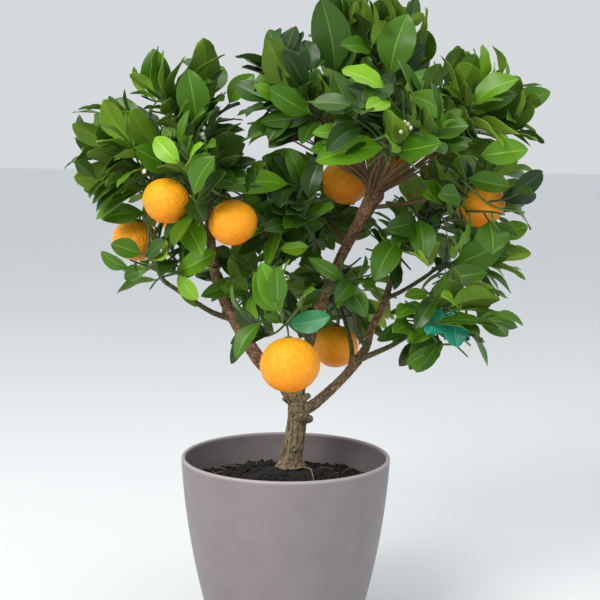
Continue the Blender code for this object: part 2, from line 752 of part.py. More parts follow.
def make_pot(home, finish):
    """The pot's shell: its profile is turned about Z, from the inner floor out and over the lip."""
    inner_floor = pot_radius(POT_HEIGHT - POT_FLOOR) - POT_WALL
    profile = [(0.0, POT_FLOOR), (inner_floor, POT_FLOOR)]
    depths = [POT_HEIGHT * k / 6 for k in range(5, 0, -1)]
    profile += [(pot_radius(d) - POT_WALL, POT_HEIGHT - d) for d in depths]
    profile += [
        (RIM_RADIUS - POT_WALL, POT_HEIGHT - LIP_HEIGHT),
        (RIM_RADIUS - LIP_WIDTH, POT_HEIGHT - LIP_HEIGHT * 0.3),
        (RIM_RADIUS - LIP_WIDTH * 0.72, POT_HEIGHT),
        (RIM_RADIUS - LIP_WIDTH * 0.28, POT_HEIGHT),
        (RIM_RADIUS, POT_HEIGHT - LIP_HEIGHT * 0.3),
    ]
    profile += [(pot_radius(d), POT_HEIGHT - d) for d in reversed(depths)]
    foot = pot_radius(POT_HEIGHT)
    profile += [(foot + 0.0006, FOOT_ROUND), (foot - FOOT_ROUND * 0.3, FOOT_ROUND * 0.3)]
    profile += [(foot - FOOT_ROUND, 0.0), (0.0, 0.0)]
    mesh = bpy.data.meshes.new("pot")
    edges = [(k, k + 1) for k in range(len(profile) - 1)]
    mesh.from_pydata([(x, 0.0, z) for x, z in profile], edges, [])
    pot = bpy.data.objects.new("pot", mesh)
    home.objects.link(pot)
    mesh.materials.append(finish)
    screw = pot.modifiers.new("turn", "SCREW")
    screw.axis = "Z"
    screw.steps = TURN_STEPS
    screw.render_steps = TURN_STEPS
    screw.use_merge_vertices = True
    screw.merge_threshold = 0.00001
    screw.use_smooth_shade = True
    return pot


def make_soil(home, finish):
    """The soil: rings that fit the pot and then close in on the trunk's seat, off the pot's centre."""
    top = POT_HEIGHT - SOIL_DROP
    slack = GAP / math.cos(math.pi / TURN_STEPS) + GAP
    rings = []
    for k in range(6):
        level = POT_FLOOR + GAP + (top - POT_FLOOR - GAP) * k / 5
        rings.append((0.0, 0.0, level, pot_radius(POT_HEIGHT - level) - POT_WALL - slack))
    wall = rings[-1][3]
    for t in (0.18, 0.45, 0.75, 1.0):
        rise = SOIL_HEAP * (3 * t ** 2 - 2 * t ** 3)
        rings.append((TRUNK_FOOT[0] * t, TRUNK_FOOT[1] * t, top + rise, wall + (SEAT_RADIUS - wall) * t))
    verts, faces = [], []
    for x, y, z, radius in rings:
        for k in range(TURN_STEPS):
            angle = 2 * math.pi * k / TURN_STEPS
            verts.append((x + radius * math.cos(angle), y + radius * math.sin(angle), z))
    for ring in range(len(rings) - 1):
        for k in range(TURN_STEPS):
            a = ring * TURN_STEPS + k
            b = ring * TURN_STEPS + (k + 1) % TURN_STEPS
            faces.append((a, b, b + TURN_STEPS, a + TURN_STEPS))
    faces.append(tuple(reversed(range(TURN_STEPS))))
    faces.append(tuple(range(len(verts) - TURN_STEPS, len(verts))))
    return mesh_object("soil", (verts, faces), home, finish)


def tube_mesh(name, route, radii, home):
    """A tapering tube drawn as a bevelled curve and made a closed mesh."""
    curve = bpy.data.curves.new(name, "CURVE")
    curve.dimensions = "3D"
    curve.bevel_depth = 1.0
    curve.bevel_resolution = 2
    curve.use_fill_caps = True
    spline = curve.splines.new("POLY")
    spline.points.add(len(route) - 1)
    for point, place, radius in zip(spline.points, route, radii):
        point.co = (*place, 1.0)
        point.radius = radius
    drawn = bpy.data.objects.new(name + "_line", curve)
    home.objects.link(drawn)
    evaluated = drawn.evaluated_get(bpy.context.evaluated_depsgraph_get())
    mesh = bpy.data.meshes.new_from_object(evaluated)
    bpy.data.objects.remove(drawn)
    bpy.data.curves.remove(curve)
    bm = bmesh.new()
    bm.from_mesh(mesh)
    bmesh.ops.remove_doubles(bm, verts=bm.verts, dist=0.000002)
    bmesh.ops.recalc_face_normals(bm, faces=bm.faces)
    bm.to_mesh(mesh)
    bm.free()
    made = bpy.data.objects.new(name, mesh)
    home.objects.link(made)
    return made


def fat_limb(name, growth, cutters):
    """A limb's shape grown by the gap on all sides, which cuts what grows from it."""
    made = cutters.objects.get("fat_" + name)
    if made:
        return made
    route, radii = growth.limbs[name]
    ends = [route[0] + (route[0] - route[1]).normalized() * GAP, route[-1] + (route[-1] - route[-2]).normalized() * GAP]
    route = [ends[0]] + route[1:-1] + [ends[1]]
    made = tube_mesh("fat_" + name, route, [r + GAP for r in radii], cutters)
    made.hide_render = True
    made.display_type = "WIRE"
    return made


def cut(target, cutter):
    """Adds a Boolean cut."""
    change = target.modifiers.new("cut_" + cutter.name, "BOOLEAN")
    change.operation = "DIFFERENCE"
    change.object = cutter
    change.solver = "EXACT"
    return change


def bodies_of(bm):
    """The separate bodies of a mesh, each a list of faces, the largest last."""
    bodies = []
    left = set(bm.faces)
    while left:
        body = [left.pop()]
        for face in body:
            for edge in face.edges:
                for other in edge.link_faces:
                    if other in left:
                        left.discard(other)
                        body.append(other)
        bodies.append(body)
    return sorted(bodies, key=len)


def settle(target):
    """Applies an object's modifiers, keeps its largest body and returns the volume if it is closed."""
    evaluated = target.evaluated_get(bpy.context.evaluated_depsgraph_get())
    mesh = bpy.data.meshes.new_from_object(evaluated)
    target.modifiers.clear()
    target.data = mesh
    bm = bmesh.new()
    bm.from_mesh(mesh)
    bmesh.ops.triangulate(bm, faces=bm.faces)
    bmesh.ops.remove_doubles(bm, verts=bm.verts, dist=WELD)
    loose = [face for body in bodies_of(bm)[:-1] for face in body]
    bmesh.ops.delete(bm, geom=loose, context="FACES")
    for vert in [v for v in bm.verts if not v.link_faces]:
        bm.verts.remove(vert)
    closed = all(len(edge.link_faces) == 2 for edge in bm.edges)
    volume = bm.calc_volume(signed=True) if closed else 0.0
    bm.to_mesh(mesh)
    bm.free()
    return volume


def shape_volume(shape):
    """The volume inside a shape's faces."""
    verts, faces = shape
    total = 0.0
    for face in faces:
        for second, third in zip(face[1:], face[2:]):
            total += verts[face[0]].dot(verts[second].cross(verts[third])) / 6
    return total


def make_limb(name, growth, home, cutters, finish):
    """A trunk, bough or branch, its foot cut clear of what it grows from."""
    limb = tube_mesh(name, *growth.limbs[name], home)
    limb.data.materials.append(finish)
    for other in CUT_BY.get(name, ()):
        cut(limb, fat_limb(other, growth, cutters))
    if name in CUT_BY:
        settle(limb)
    limb.data.shade_smooth()
    return limb


def join(mass, stem_mesh, shapes, solver):
    """Joins the shapes to a mass's stem and returns the volume of the result if it is closed."""
    mass.data = stem_mesh.copy()
    pieces = collection(mass.name + "_pieces")
    for shape in shapes:
        mesh_object("piece", shape, pieces)
    change = mass.modifiers.new("join", "BOOLEAN")
    change.operation = "UNION"
    change.operand_type = "COLLECTION"
    change.collection = pieces
    change.solver = solver
    volume = settle(mass)
    for piece in list(pieces.objects):
        bpy.data.objects.remove(piece)
    bpy.data.collections.remove(pieces)
    return volume


def make_mass(name, growth, home, cutters, finish):
    """A foliage mass: stem, twigs, leaves and fruit in one body, with fewer leaves if it won't close."""
    stem = growth.stems[name]
    mass = tube_mesh(name, stem.route, stem.radii, home)
    cut(mass, fat_limb(MASSES[name].limb, growth, cutters))
    settle(mass)
    mass.data.materials.append(finish)
    stem_mesh = mass.data
    leaves = growth.leaves[name]
    for share in LEAF_SHARES:
        shapes = [sweep(twig.route, twig.radii, 3) for twig in growth.twigs[name]]
        shapes += [leaf_shape(leaf) for leaf in leaves[:round(len(leaves) * share)]]
        shapes += [fruit_shape(fruit) for fruit in growth.fruits[name]]
        wanted = WHOLE_SHARE * sum(shape_volume(shape) for shape in shapes)
        for solver in SOLVERS:
            if join(mass, stem_mesh, shapes, solver) > wanted:
                return mass
    return mass


def main():
    """Builds the whole plant in its pot."""
    for old in list(bpy.data.objects):
        bpy.data.objects.remove(old)
    home = collection("potted_clementine_tree")
    cutters = collection("cutters")
    growth = Growth()
    growth.grow()
    bark = material("bark", (0.20, 0.12, 0.07), 0.85)
    leaf_green = material("leaf_green", (0.06, 0.20, 0.02), 0.45)
    make_pot(home, material("pot_plastic", (0.24, 0.21, 0.21), 0.45))
    make_soil(home, material("soil", (0.02, 0.015, 0.012), 0.95))
    for name in LIMBS:
        make_limb(name, growth, home, cutters, bark)
    for name in MASSES:
        make_mass(name, growth, home, cutters, leaf_green)
    return growth


main()
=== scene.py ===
"""Potted clementine tree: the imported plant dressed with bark, fine twigs, leaves, fruit and soil.

The limbs, masses and leaves follow the source's own growth rule, written out again here. Limbs,
masses, sights, stubs, knots, the bare root and the camera's sensor are given in millimetres, other
lengths in metres, and the leaf angles, the creases and the camera's angles in degrees.
"""
import json
import math
import random
from dataclasses import dataclass

import bmesh
import bpy
from mathutils import Matrix, Vector, noise
from mathutils.bvhtree import BVHTree
from mathutils.kdtree import KDTree

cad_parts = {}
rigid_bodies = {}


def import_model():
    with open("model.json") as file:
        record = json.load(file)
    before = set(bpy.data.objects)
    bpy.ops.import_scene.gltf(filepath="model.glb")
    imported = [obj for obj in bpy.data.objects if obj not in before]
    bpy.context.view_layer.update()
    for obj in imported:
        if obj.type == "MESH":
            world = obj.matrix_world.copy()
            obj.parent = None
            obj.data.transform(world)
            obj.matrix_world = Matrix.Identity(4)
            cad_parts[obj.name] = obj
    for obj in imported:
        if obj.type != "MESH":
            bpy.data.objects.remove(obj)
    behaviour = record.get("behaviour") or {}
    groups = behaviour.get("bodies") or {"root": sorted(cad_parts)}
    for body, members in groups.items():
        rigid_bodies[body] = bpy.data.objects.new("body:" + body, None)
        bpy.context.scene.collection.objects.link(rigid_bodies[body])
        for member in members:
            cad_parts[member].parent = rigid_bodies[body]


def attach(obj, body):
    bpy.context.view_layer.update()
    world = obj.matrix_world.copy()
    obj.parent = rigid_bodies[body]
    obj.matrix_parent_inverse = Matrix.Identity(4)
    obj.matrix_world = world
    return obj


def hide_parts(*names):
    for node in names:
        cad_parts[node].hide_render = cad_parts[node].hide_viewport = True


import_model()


def metres(value):
    """Millimetres as metres: one length, or each length in a nest of tuples."""
    if isinstance(value, tuple):
        return tuple(metres(part) for part in value)
    return value / 1000


# Clearance between pieces that touch
GAP = 0.0003

# Pot: its outer side falls in a shallow curve from the rim to the foot
POT_HEIGHT = 0.2
RIM_RADIUS = 0.11
POT_SLOPE = 0.05
POT_BOW = 0.66
POT_WALL = 0.003
POT_FLOOR = 0.004
LIP_WIDTH = 0.0042
FOOT_ROUND = 0.004
FOOT_RING = 0.014
FOOT_HOLLOW = 0.002
POT_SEGMENTS = 160
POT_CREASE = 60
FOOT_STEPS = 6
LIP_STEPS = 12
WALL_STEPS = 24

# Soil: level at the wall and heaped round the trunk's foot
SOIL_TOP = POT_HEIGHT - 0.032
SOIL_HEAP = 0.012
TRUNK_FOOT = (0.005, 0.03)
WALL_CLEAR = 0.0006
SOIL_SHOULDER = 0.002
SOIL_SIDE_RINGS = 8
SOIL_RINGS = 56
SOIL_SEGMENTS = 150
SOIL_HOLE = 0.004
SOIL_GRAIN = 90.0
SOIL_RELIEF = 0.0022
SOIL_SINK = 0.0015
FOOT_MOUND = 0.0032
LUMP_COUNT = 1500
LUMP_SIZES = (0.001, 0.0019, 0.0036)
SMALL_LUMPS = 0.72
LUMP_STRETCH = (0.6, 1.3)
LUMP_GRAIN = 1.4
LUMP_ROUGH = 0.45
FIBRE_COUNT = 70
FIBRE_LENGTH = (0.005, 0.018)
FIBRE_RADII = (0.00035, 0.0002)
FIBRE_RISE = (-0.05, 0.2)
FIBRE_BEND = (-0.3, 0.3)
FIBRE_LIFT = 0.2
FIBRE_MARGIN = 0.003
CRUMB_SINK = 0.0008
ROOT_SIDES = 8
BARE_ROOT = metres(((18, 20, 181.5, 0.8), (26, 6, 183.5, 0.8), (29, -8, 178.5, 0.7), (30, -18, 173.5, 0.5)))

# Limbs: the points of each route in millimetres, with the radius there, foot first
FOOT_LEVEL = 1000 * (SOIL_TOP + SOIL_HEAP + GAP)
LIMBS = {name: metres(points) for name, points in {
    "trunk": (
        (5, 30, FOOT_LEVEL, 17.5), (5, 30, 187, 13), (8, 30, 204, 11.6), (11, 30, 226, 10.6),
        (12, 28, 245, 10.6), (11, 26, 261, 9.2)),
    "bough_left": (
        (11, 28, 249, 8.2), (-8, 24, 278, 7.8), (-29, 18, 298, 7.4), (-48, 10, 330, 7),
        (-63, 4, 358, 6.2), (-73, 0, 384, 5.5), (-78, -2, 411, 5.2), (-81, 0, 442, 4.8),
        (-82, 2, 468, 4.2)),
    "bough_centre": (
        (11, 26, 256, 7.4), (17, 30, 284, 6.6), (23, 34, 312, 6), (36, 38, 356, 5.8), (47, 36, 385, 5.6),
        (57, 32, 409, 5.6), (70, 28, 435, 6), (82, 24, 458, 8), (91, 22, 477, 8.6), (94, 21, 486, 6)),
    "bough_right": (
        (12, 28, 241, 6.6), (27, 24, 248, 6), (47, 22, 266, 5.4), (63, 24, 282, 5), (75, 28, 297, 5.6),
        (85, 34, 311, 4.6), (90, 40, 328, 4.2), (98, 46, 343, 4.2), (104, 50, 356, 4),
        (111, 58, 377, 3.6), (116, 62, 396, 3.2)),
    "branch_left_low": (
        (-53, 8, 342, 3.6), (-66, 4, 346, 3.2), (-80, -6, 353, 2.8), (-96, -18, 365, 2.6),
        (-109, -26, 375, 2.4), (-123, -32, 385, 2.2)),
    "branch_left_inner": (
        (-46, 10, 331, 2.6), (-38, 12, 350, 2.3), (-32, 12, 368, 2)),
    "branch_right_low": (
        (73, 27, 296, 3.6), (86, 22, 303, 3.2), (109, 14, 315, 2.7), (124, 8, 325, 2.4),
        (137, 4, 333, 2.2)),
    "branch_right_mid": (
        (106, 53, 361, 2.8), (125, 48, 371, 2.4), (148, 36, 388, 2.2), (156, 30, 396, 2)),
    "branch_inner": (
        (85, 33, 311, 2.8), (74, 24, 328, 2.4), (70, 10, 350, 2.1), (64, -8, 380, 1.8)),
    "branch_mid": (
        (45, 36, 380, 3.6), (36, 31, 392, 3), (29, 23, 410, 2.6), (27, 14, 428, 2.2)),
    "branch_front": (
        (25, 34, 318, 3), (17, 18, 326, 2.6), (8, -6, 336, 2.4), (1, -30, 346, 2.2), (-3, -52, 353, 2)),
    "branch_back_low": (
        (68, 25, 288, 3.2), (70, 48, 306, 2.7), (64, 75, 330, 2.3), (58, 90, 350, 2)),
    "branch_back": (
        (62, 30, 419, 3.8), (56, 46, 428, 3.2), (46, 72, 440, 2.7), (38, 92, 450, 2.3)),
}.items()}
LIMB_SIDES = 8
LIMB_STEP = 0.016

# Leaves as the source grows them
LEAF_MEAN = 0.067
LEAF_SPREAD = 0.01
LEAF_RANGE = (0.04, 0.084)
LEAF_ASPECT = 0.62
ASPECT_RANGE = (0.88, 1.12)
LEAF_THICKNESS = 0.034
LEAF_STEP = 0.0115
FIRST_STEP = (0.6, 1.0)
NEXT_STEP = (0.9, 1.2)
LEAFY_SHARE = 0.72
LEAF_SINK = 0.0006
LEAF_BACK = 0.0022
POLE_SHIFT = -0.2
LEAF_ANGLES = (38, 62)
SHRINKS = (1.0, 0.82, 0.66)
TRIES = 5
TRY_TURN = math.radians(52)
TURN = math.radians(137.5)
CLEAR = 0.0006
FRONT = Vector((0, -1.0, 0.35))
TREE_AXIS = Vector((0.03, 0.02, 0.0))
FACE_UP = Vector((0, 0, 0.55))
FACE_OUT = 0.65
FACE_ON = 0.35
FACE_WANDER = 0.3
END_WANDER = 0.25

# Twigs as the source grows them
TWIG_RADII = (0.0019, 0.0013)
STEM_RADII = (0.0027, 0.0022)
TWIG_SIDES = 3
STEM_SIDES = 5
STEM_SAG = Vector((0, 0, -0.1))
TWIG_PULL = 0.45
TWIG_WANDER = 0.08
TWIG_RISE = Vector((0, 0, 0.35))
FIRST_TWIG = 0.96
TWIG_STRETCH = 0.32
TWIG_REACH = (0.62, 0.48, 0.34)
TWIG_LEAST = 0.012
SPACE_MARGIN = 0.0008
SPACE_SPREAD = 1.12
FRUIT_SQUASH = 0.92
FRUIT_ROUNDS = 2
STALK_DEPTH = 0.82
STALK_ARCH = 0.018

# Finer growth of the scene: each round's leaf size and its share of a mass's shoots
FINER_ROUNDS = ((0.84, 2.2), (0.7, 3.0))
FINER_REACH = (0.8, 0.62, 0.45, 0.3)
FINER_LEAST = 0.01
FINER_START = (0.35, 0.85)

# A leaf's sheet: rows along it and places across it, of which the middle two edge its rib
LEAF_ROWS = 10
LEAF_ACROSS = (-1.0, -0.62, -0.28, -0.05, 0.05, 0.28, 0.62, 1.0)
RIB_EDGE = 0.1
LEAF_SHEET = 0.00035
LEAF_FOLD = (0.08, 0.36)
LEAF_ARCH = (0.02, 0.13)
LEAF_SWAY = 0.05
LEAF_WAVE = (0.01, 0.06)
LEAF_WAVES = (1.5, 3.0)
STALK_SHARE = 0.1
STALK_WIDTH = 0.045
STALK_BLEND = 0.03
TIP_WIDTH = 0.004
OUTLINE_SKEW = 0.95
OUTLINE_FULL = 0.66
LEAF_CREASE = 50
RIB_DROP = 0.0003
RIB_SWELL = 0.0006
BLADE_SHARE = 0.78
BLADE, BACK, RIB, BACK_RIB = range(4)
TONE_PARTS = 4
PIECE_LIMIT = 190000
LEAF_SEED = 5
TWIG_SEED = 6
SOIL_SEED = 7

# Leaf tones: blade, back and rib
TONES = {
    "dark": ((0.013, 0.042, 0.002), (0.048, 0.105, 0.009), (0.036, 0.092, 0.006)),
    "deep": ((0.028, 0.084, 0.0028), (0.076, 0.155, 0.012), (0.068, 0.165, 0.008)),
    "mid": ((0.05, 0.142, 0.0035), (0.115, 0.21, 0.016), (0.118, 0.255, 0.011)),
    "bright": ((0.098, 0.25, 0.006), (0.17, 0.3, 0.021), (0.2, 0.39, 0.02)),
    "young": ((0.18, 0.385, 0.011), (0.265, 0.425, 0.035), (0.3, 0.51, 0.035)),
    # Blue-green blades for sky light caught on the gloss: painted sky reflection
    "sky_sheen": ((0.014, 0.25, 0.15), (0.08, 0.27, 0.14), (0.06, 0.36, 0.22)),
    # A fainter blue-green: painted sky reflection, weaker than the one above
    "faint_sky_reflection": ((0.02, 0.185, 0.06), (0.08, 0.21, 0.07), (0.06, 0.24, 0.09)),
}
SPRAY_TONES = ("dark", "deep", "mid", "bright", "young")
# Sprays inside the crown draw darker tones, painted shade within the foliage; outer sprays draw lighter
# ones, with a little more young growth
LIT_OUTER_WEIGHTS = (12, 28, 36, 20, 4)
SHADED_INNER_WEIGHTS = (28, 36, 26, 9, 1)
OUTER_REACH = 0.13
CROWN_CENTRE = TREE_AXIS + Vector((0, 0, 0.5))
STRAY_SHARE = 0.25
LEAF_GLOSS = 0.37
LEAF_SPECULAR = 0.32
BACK_RIB_GAIN = 1.35

# Twigs: the crown's stems fan out from the knob on the middle bough
FAN_MASSES = "foliage_crown"
FAN_COUNT = 8
FAN_RADII = (0.0016, 0.0008)
FAN_FOOT = 0.003
FAN_END = 0.026
FAN_BEND = 0.01
STEM_SLIM = 0.92
TWIG_SLIM = 0.72
TWIG_STEP = 0.004
STEM_TUBE_SIDES = 8
TUBE_SIDES = 6
OLD_TWIGS = 0.7

# Fruit, buttons and buds
PEEL_ROUNDS = 6
PIT_SCALE = 700.0
PIT_DEPTH = 0.00022
LUMP_SCALE = 1.6
LUMP_DEPTH = 0.0005
DIMPLE_DEPTH = 0.0012
DIMPLE_SPREAD = 0.012
# Peel colour above and below: the deeper orange below is painted shade on the fruit's underside
PEEL_LIT_ABOVE = ((0.3, (0.98, 0.37, 0.004)), (0.7, (1.0, 0.46, 0.01)))
PEEL_SHADED_BELOW = ((0.3, (0.84, 0.2, 0.001)), (0.7, (0.92, 0.26, 0.003)))
SHADE_BELOW_MIDDLE = 0.35
SHADE_BELOW_RATE = 1.1
# Darker orange where the peel is pitted: painted shade in the pits
PIT_SHADE_DOTS = ((0.05, (0.7, 0.7, 0.7)), (0.34, (0.0, 0.0, 0.0)))
PEEL_PIT_SHADE = (0.78, 0.19, 0.001)
BUTTON_RINGS = ((0.004, 0.0002), (0.0036, 0.0012), (0.0018, 0.0022))
BUTTON_SIDES = 20
BUTTON_LOBES = 5
LOBE_DEPTH = 0.3
BUDS = (((-0.081, -0.085, 0.536), 4), ((0.112, -0.118, 0.541), 5), ((-0.146, -0.06, 0.503), 3))
BUD_SIZE = (0.0019, 0.0019, 0.0027)
BUD_SPREAD = 0.006
BUD_FOOT = Vector((0, 0.022, -0.01))
BUD_STALK = (0.0008, 0.0007, 0.0006)

# Lines of sight from the photograph's camera place that filling leaves leave open: to the fruit, to
# the fan of twigs and to far points in the sky. Each is a point and a radius in millimetres, and the
# share kept clear.
SIGHTS = (
    ((4, -85, 311), 30.0, 1.02), ((-119, -60, 469), 24.3, 1.0), ((-53, -70, 449), 24.5, 1.0),
    ((-160, 15, 425), 24.2, 0.85), ((200, 10, 466), 26.2, 0.85), ((54, 100, 301), 26.2, 0.9),
    ((62, 75, 487), 27.5, 0.7), ((75, 15, 503), 15, 1.0), ((105, 18, 499), 20, 1.0),
    ((132, 12, 512), 17, 1.0), ((211, 248, 254), 24, 1.0), ((266, 248, 273), 22, 1.0),
    ((-153, 248, 345), 17, 1.0), ((149, 248, 367), 12, 1.0),
)
BOUGH_SIGHT = LIMBS["bough_centre"][3:9]
BOUGH_CLEAR = 0.0095
BEHIND_SHARE = 0.3
LEAF_SPOTS = (0.12, 0.35, 0.6, 0.8, 1.0)
ASIDE_SHARE = 0.3

# Tones of the pot and the soil
POT_TONES = ((0.3, (0.2, 0.172, 0.178)), (0.7, (0.225, 0.195, 0.2)))
# Paler band over the top of the lip: painted highlight
POT_LIP_HIGHLIGHT = (0.4, 0.365, 0.37)
LIP_HIGHLIGHT_FADE = (0.1965, 0.1995)
SOIL_TONES = ((0.3, (0.004, 0.0035, 0.003)), (0.62, (0.013, 0.01, 0.008)), (0.9, (0.05, 0.036, 0.026)))

# Bark: stubs and knots in millimetres, and tones from its fissures, darkened as painted shade, to its
# ridges
BARK_SAMPLE = 0.002
BARK_SIDES = 24
STUB_SIDES = 16
BARK_VOXEL = 0.0009
BARK_DEPTH = 0.085
DEEPEST_RADIUS = 0.012
ACROSS_RATE = 420.0
ALONG_RATE = 95.0
FORK_LEVEL = 0.258
FORK_FADE = 0.03
THIN_RADIUS = 0.0044
THIN_FADE = 0.0016
CRACK_RATE = 1.9
CRACK_POWER = 5
FINE_RATE = 3.1
RING_RATE = 210.0

# How far the bark's broad, fine, cracked and ringed patterns lift it, and how far they lighten it, the
# darkening in the cracks being painted shade
BARK_LIFT = (0.8, 0.35, -0.85, 0.25)
BARK_MOTTLE_AND_CRACK_SHADE = (0.35, 0.3, -0.55, 0.15)
SHADE_MIDDLE = 0.55
STUBS = metres((
    ((18, 25, 232, 4.8), (23, 20, 234, 4.4), (27, 17, 236, 3.6)),
    ((14, 26, 252, 4.0), (19, 21, 257, 3.6), (24, 17, 261, 3.2)),
    ((6, 26, 250, 4.0), (2, 21, 254, 3.4), (-3, 17, 258, 3.0)),
    ((8, 22, 200, 4.6), (9, 19, 202, 4.4), (10, 16.5, 204, 4.0)),
))
KNOTS = metres((((17, 20, 238), 7.2), ((90, 21, 474), 10.5), ((74, 28, 297), 6.8), ((10, 29, 252), 9.5)))
TRUNK_TONES = ((0.15, (0.036, 0.026, 0.014)), (0.5, (0.21, 0.155, 0.085)), (0.85, (0.43, 0.35, 0.22)))
BOUGH_TONES = ((0.15, (0.036, 0.015, 0.007)), (0.5, (0.215, 0.11, 0.052)), (0.85, (0.43, 0.26, 0.145)))
BRANCH_TONES = ((0.15, (0.03, 0.028, 0.01)), (0.5, (0.085, 0.085, 0.03)), (0.85, (0.15, 0.14, 0.06)))

# Stage, lights with their place, aim, size, power and colour, and camera
FLOOR_TONES = ((0.3, (0.83, 0.85, 0.86)), (0.7, (0.845, 0.865, 0.875)))
FLOOR_REACH = 30.0
LIGHTS = {
    "key": ((-1.1, -1.5, 1.7), (0.0, 0.0, 0.4), 1.1, 42.0, (1.0, 0.97, 0.92)),
    "fill": ((1.5, -1.1, 0.8), (0.0, 0.0, 0.35), 1.2, 4.0, (0.86, 0.9, 1.0)),
    "top": ((0.1, 0.2, 1.9), (0.0, 0.0, 0.4), 1.3, 6.0, (1.0, 1.0, 1.0)),
}
SURROUND = (0.88, 0.915, 0.94)
SURROUND_STRENGTH = 0.76
SENSOR = 36.0
FRAME_PIXELS = 600
FOCAL_PIXELS = 1257
CAMERA_PLACE = (0.0133, -1.3, 0.52)
CAMERA_DIP = 6.8
CAMERA_ROLL = 0.6

UPPER = 1
UNDER = -1


@dataclass
class Fruit:
    """A fruit by its centre, its diameter across and the way its stalk points."""
    centre: Vector
    diameter: float
    axis: Vector


@dataclass
class Mass:
    """One mass of foliage, given in millimetres.

    Its stem leaves its limb at a share of the limb's length and ends at its hub. Its space reaches
    out from its centre. A leading leaf is a row for leading_leaf. A fruit is its centre, its
    diameter and the way its stalk points.
    """
    limb: str
    along: float
    hub: tuple
    centre: tuple
    reach: tuple
    seed: int
    shoots: int = 9
    leading: tuple = ()
    fruits: tuple = ()

    def __post_init__(self):
        self.hub = Vector(metres(self.hub))
        self.centre = Vector(metres(self.centre))
        self.reach = metres(self.reach)
        self.fruits = [Fruit(Vector(metres(place)), metres(diameter), Vector(way).normalized())
                       for place, diameter, way in self.fruits]
        self.stem = None
        self.twigs = []
        self.leaves = []


def leading_leaf(x, y, z, tip_x, tip_y, tip_z, width, tone="mid", side=UPPER):
    """A leading leaf's root, tip and width in metres, its tone and the side that shows in front."""
    return Vector(metres((x, y, z))), Vector(metres((tip_x, tip_y, tip_z))), metres(width), tone, side


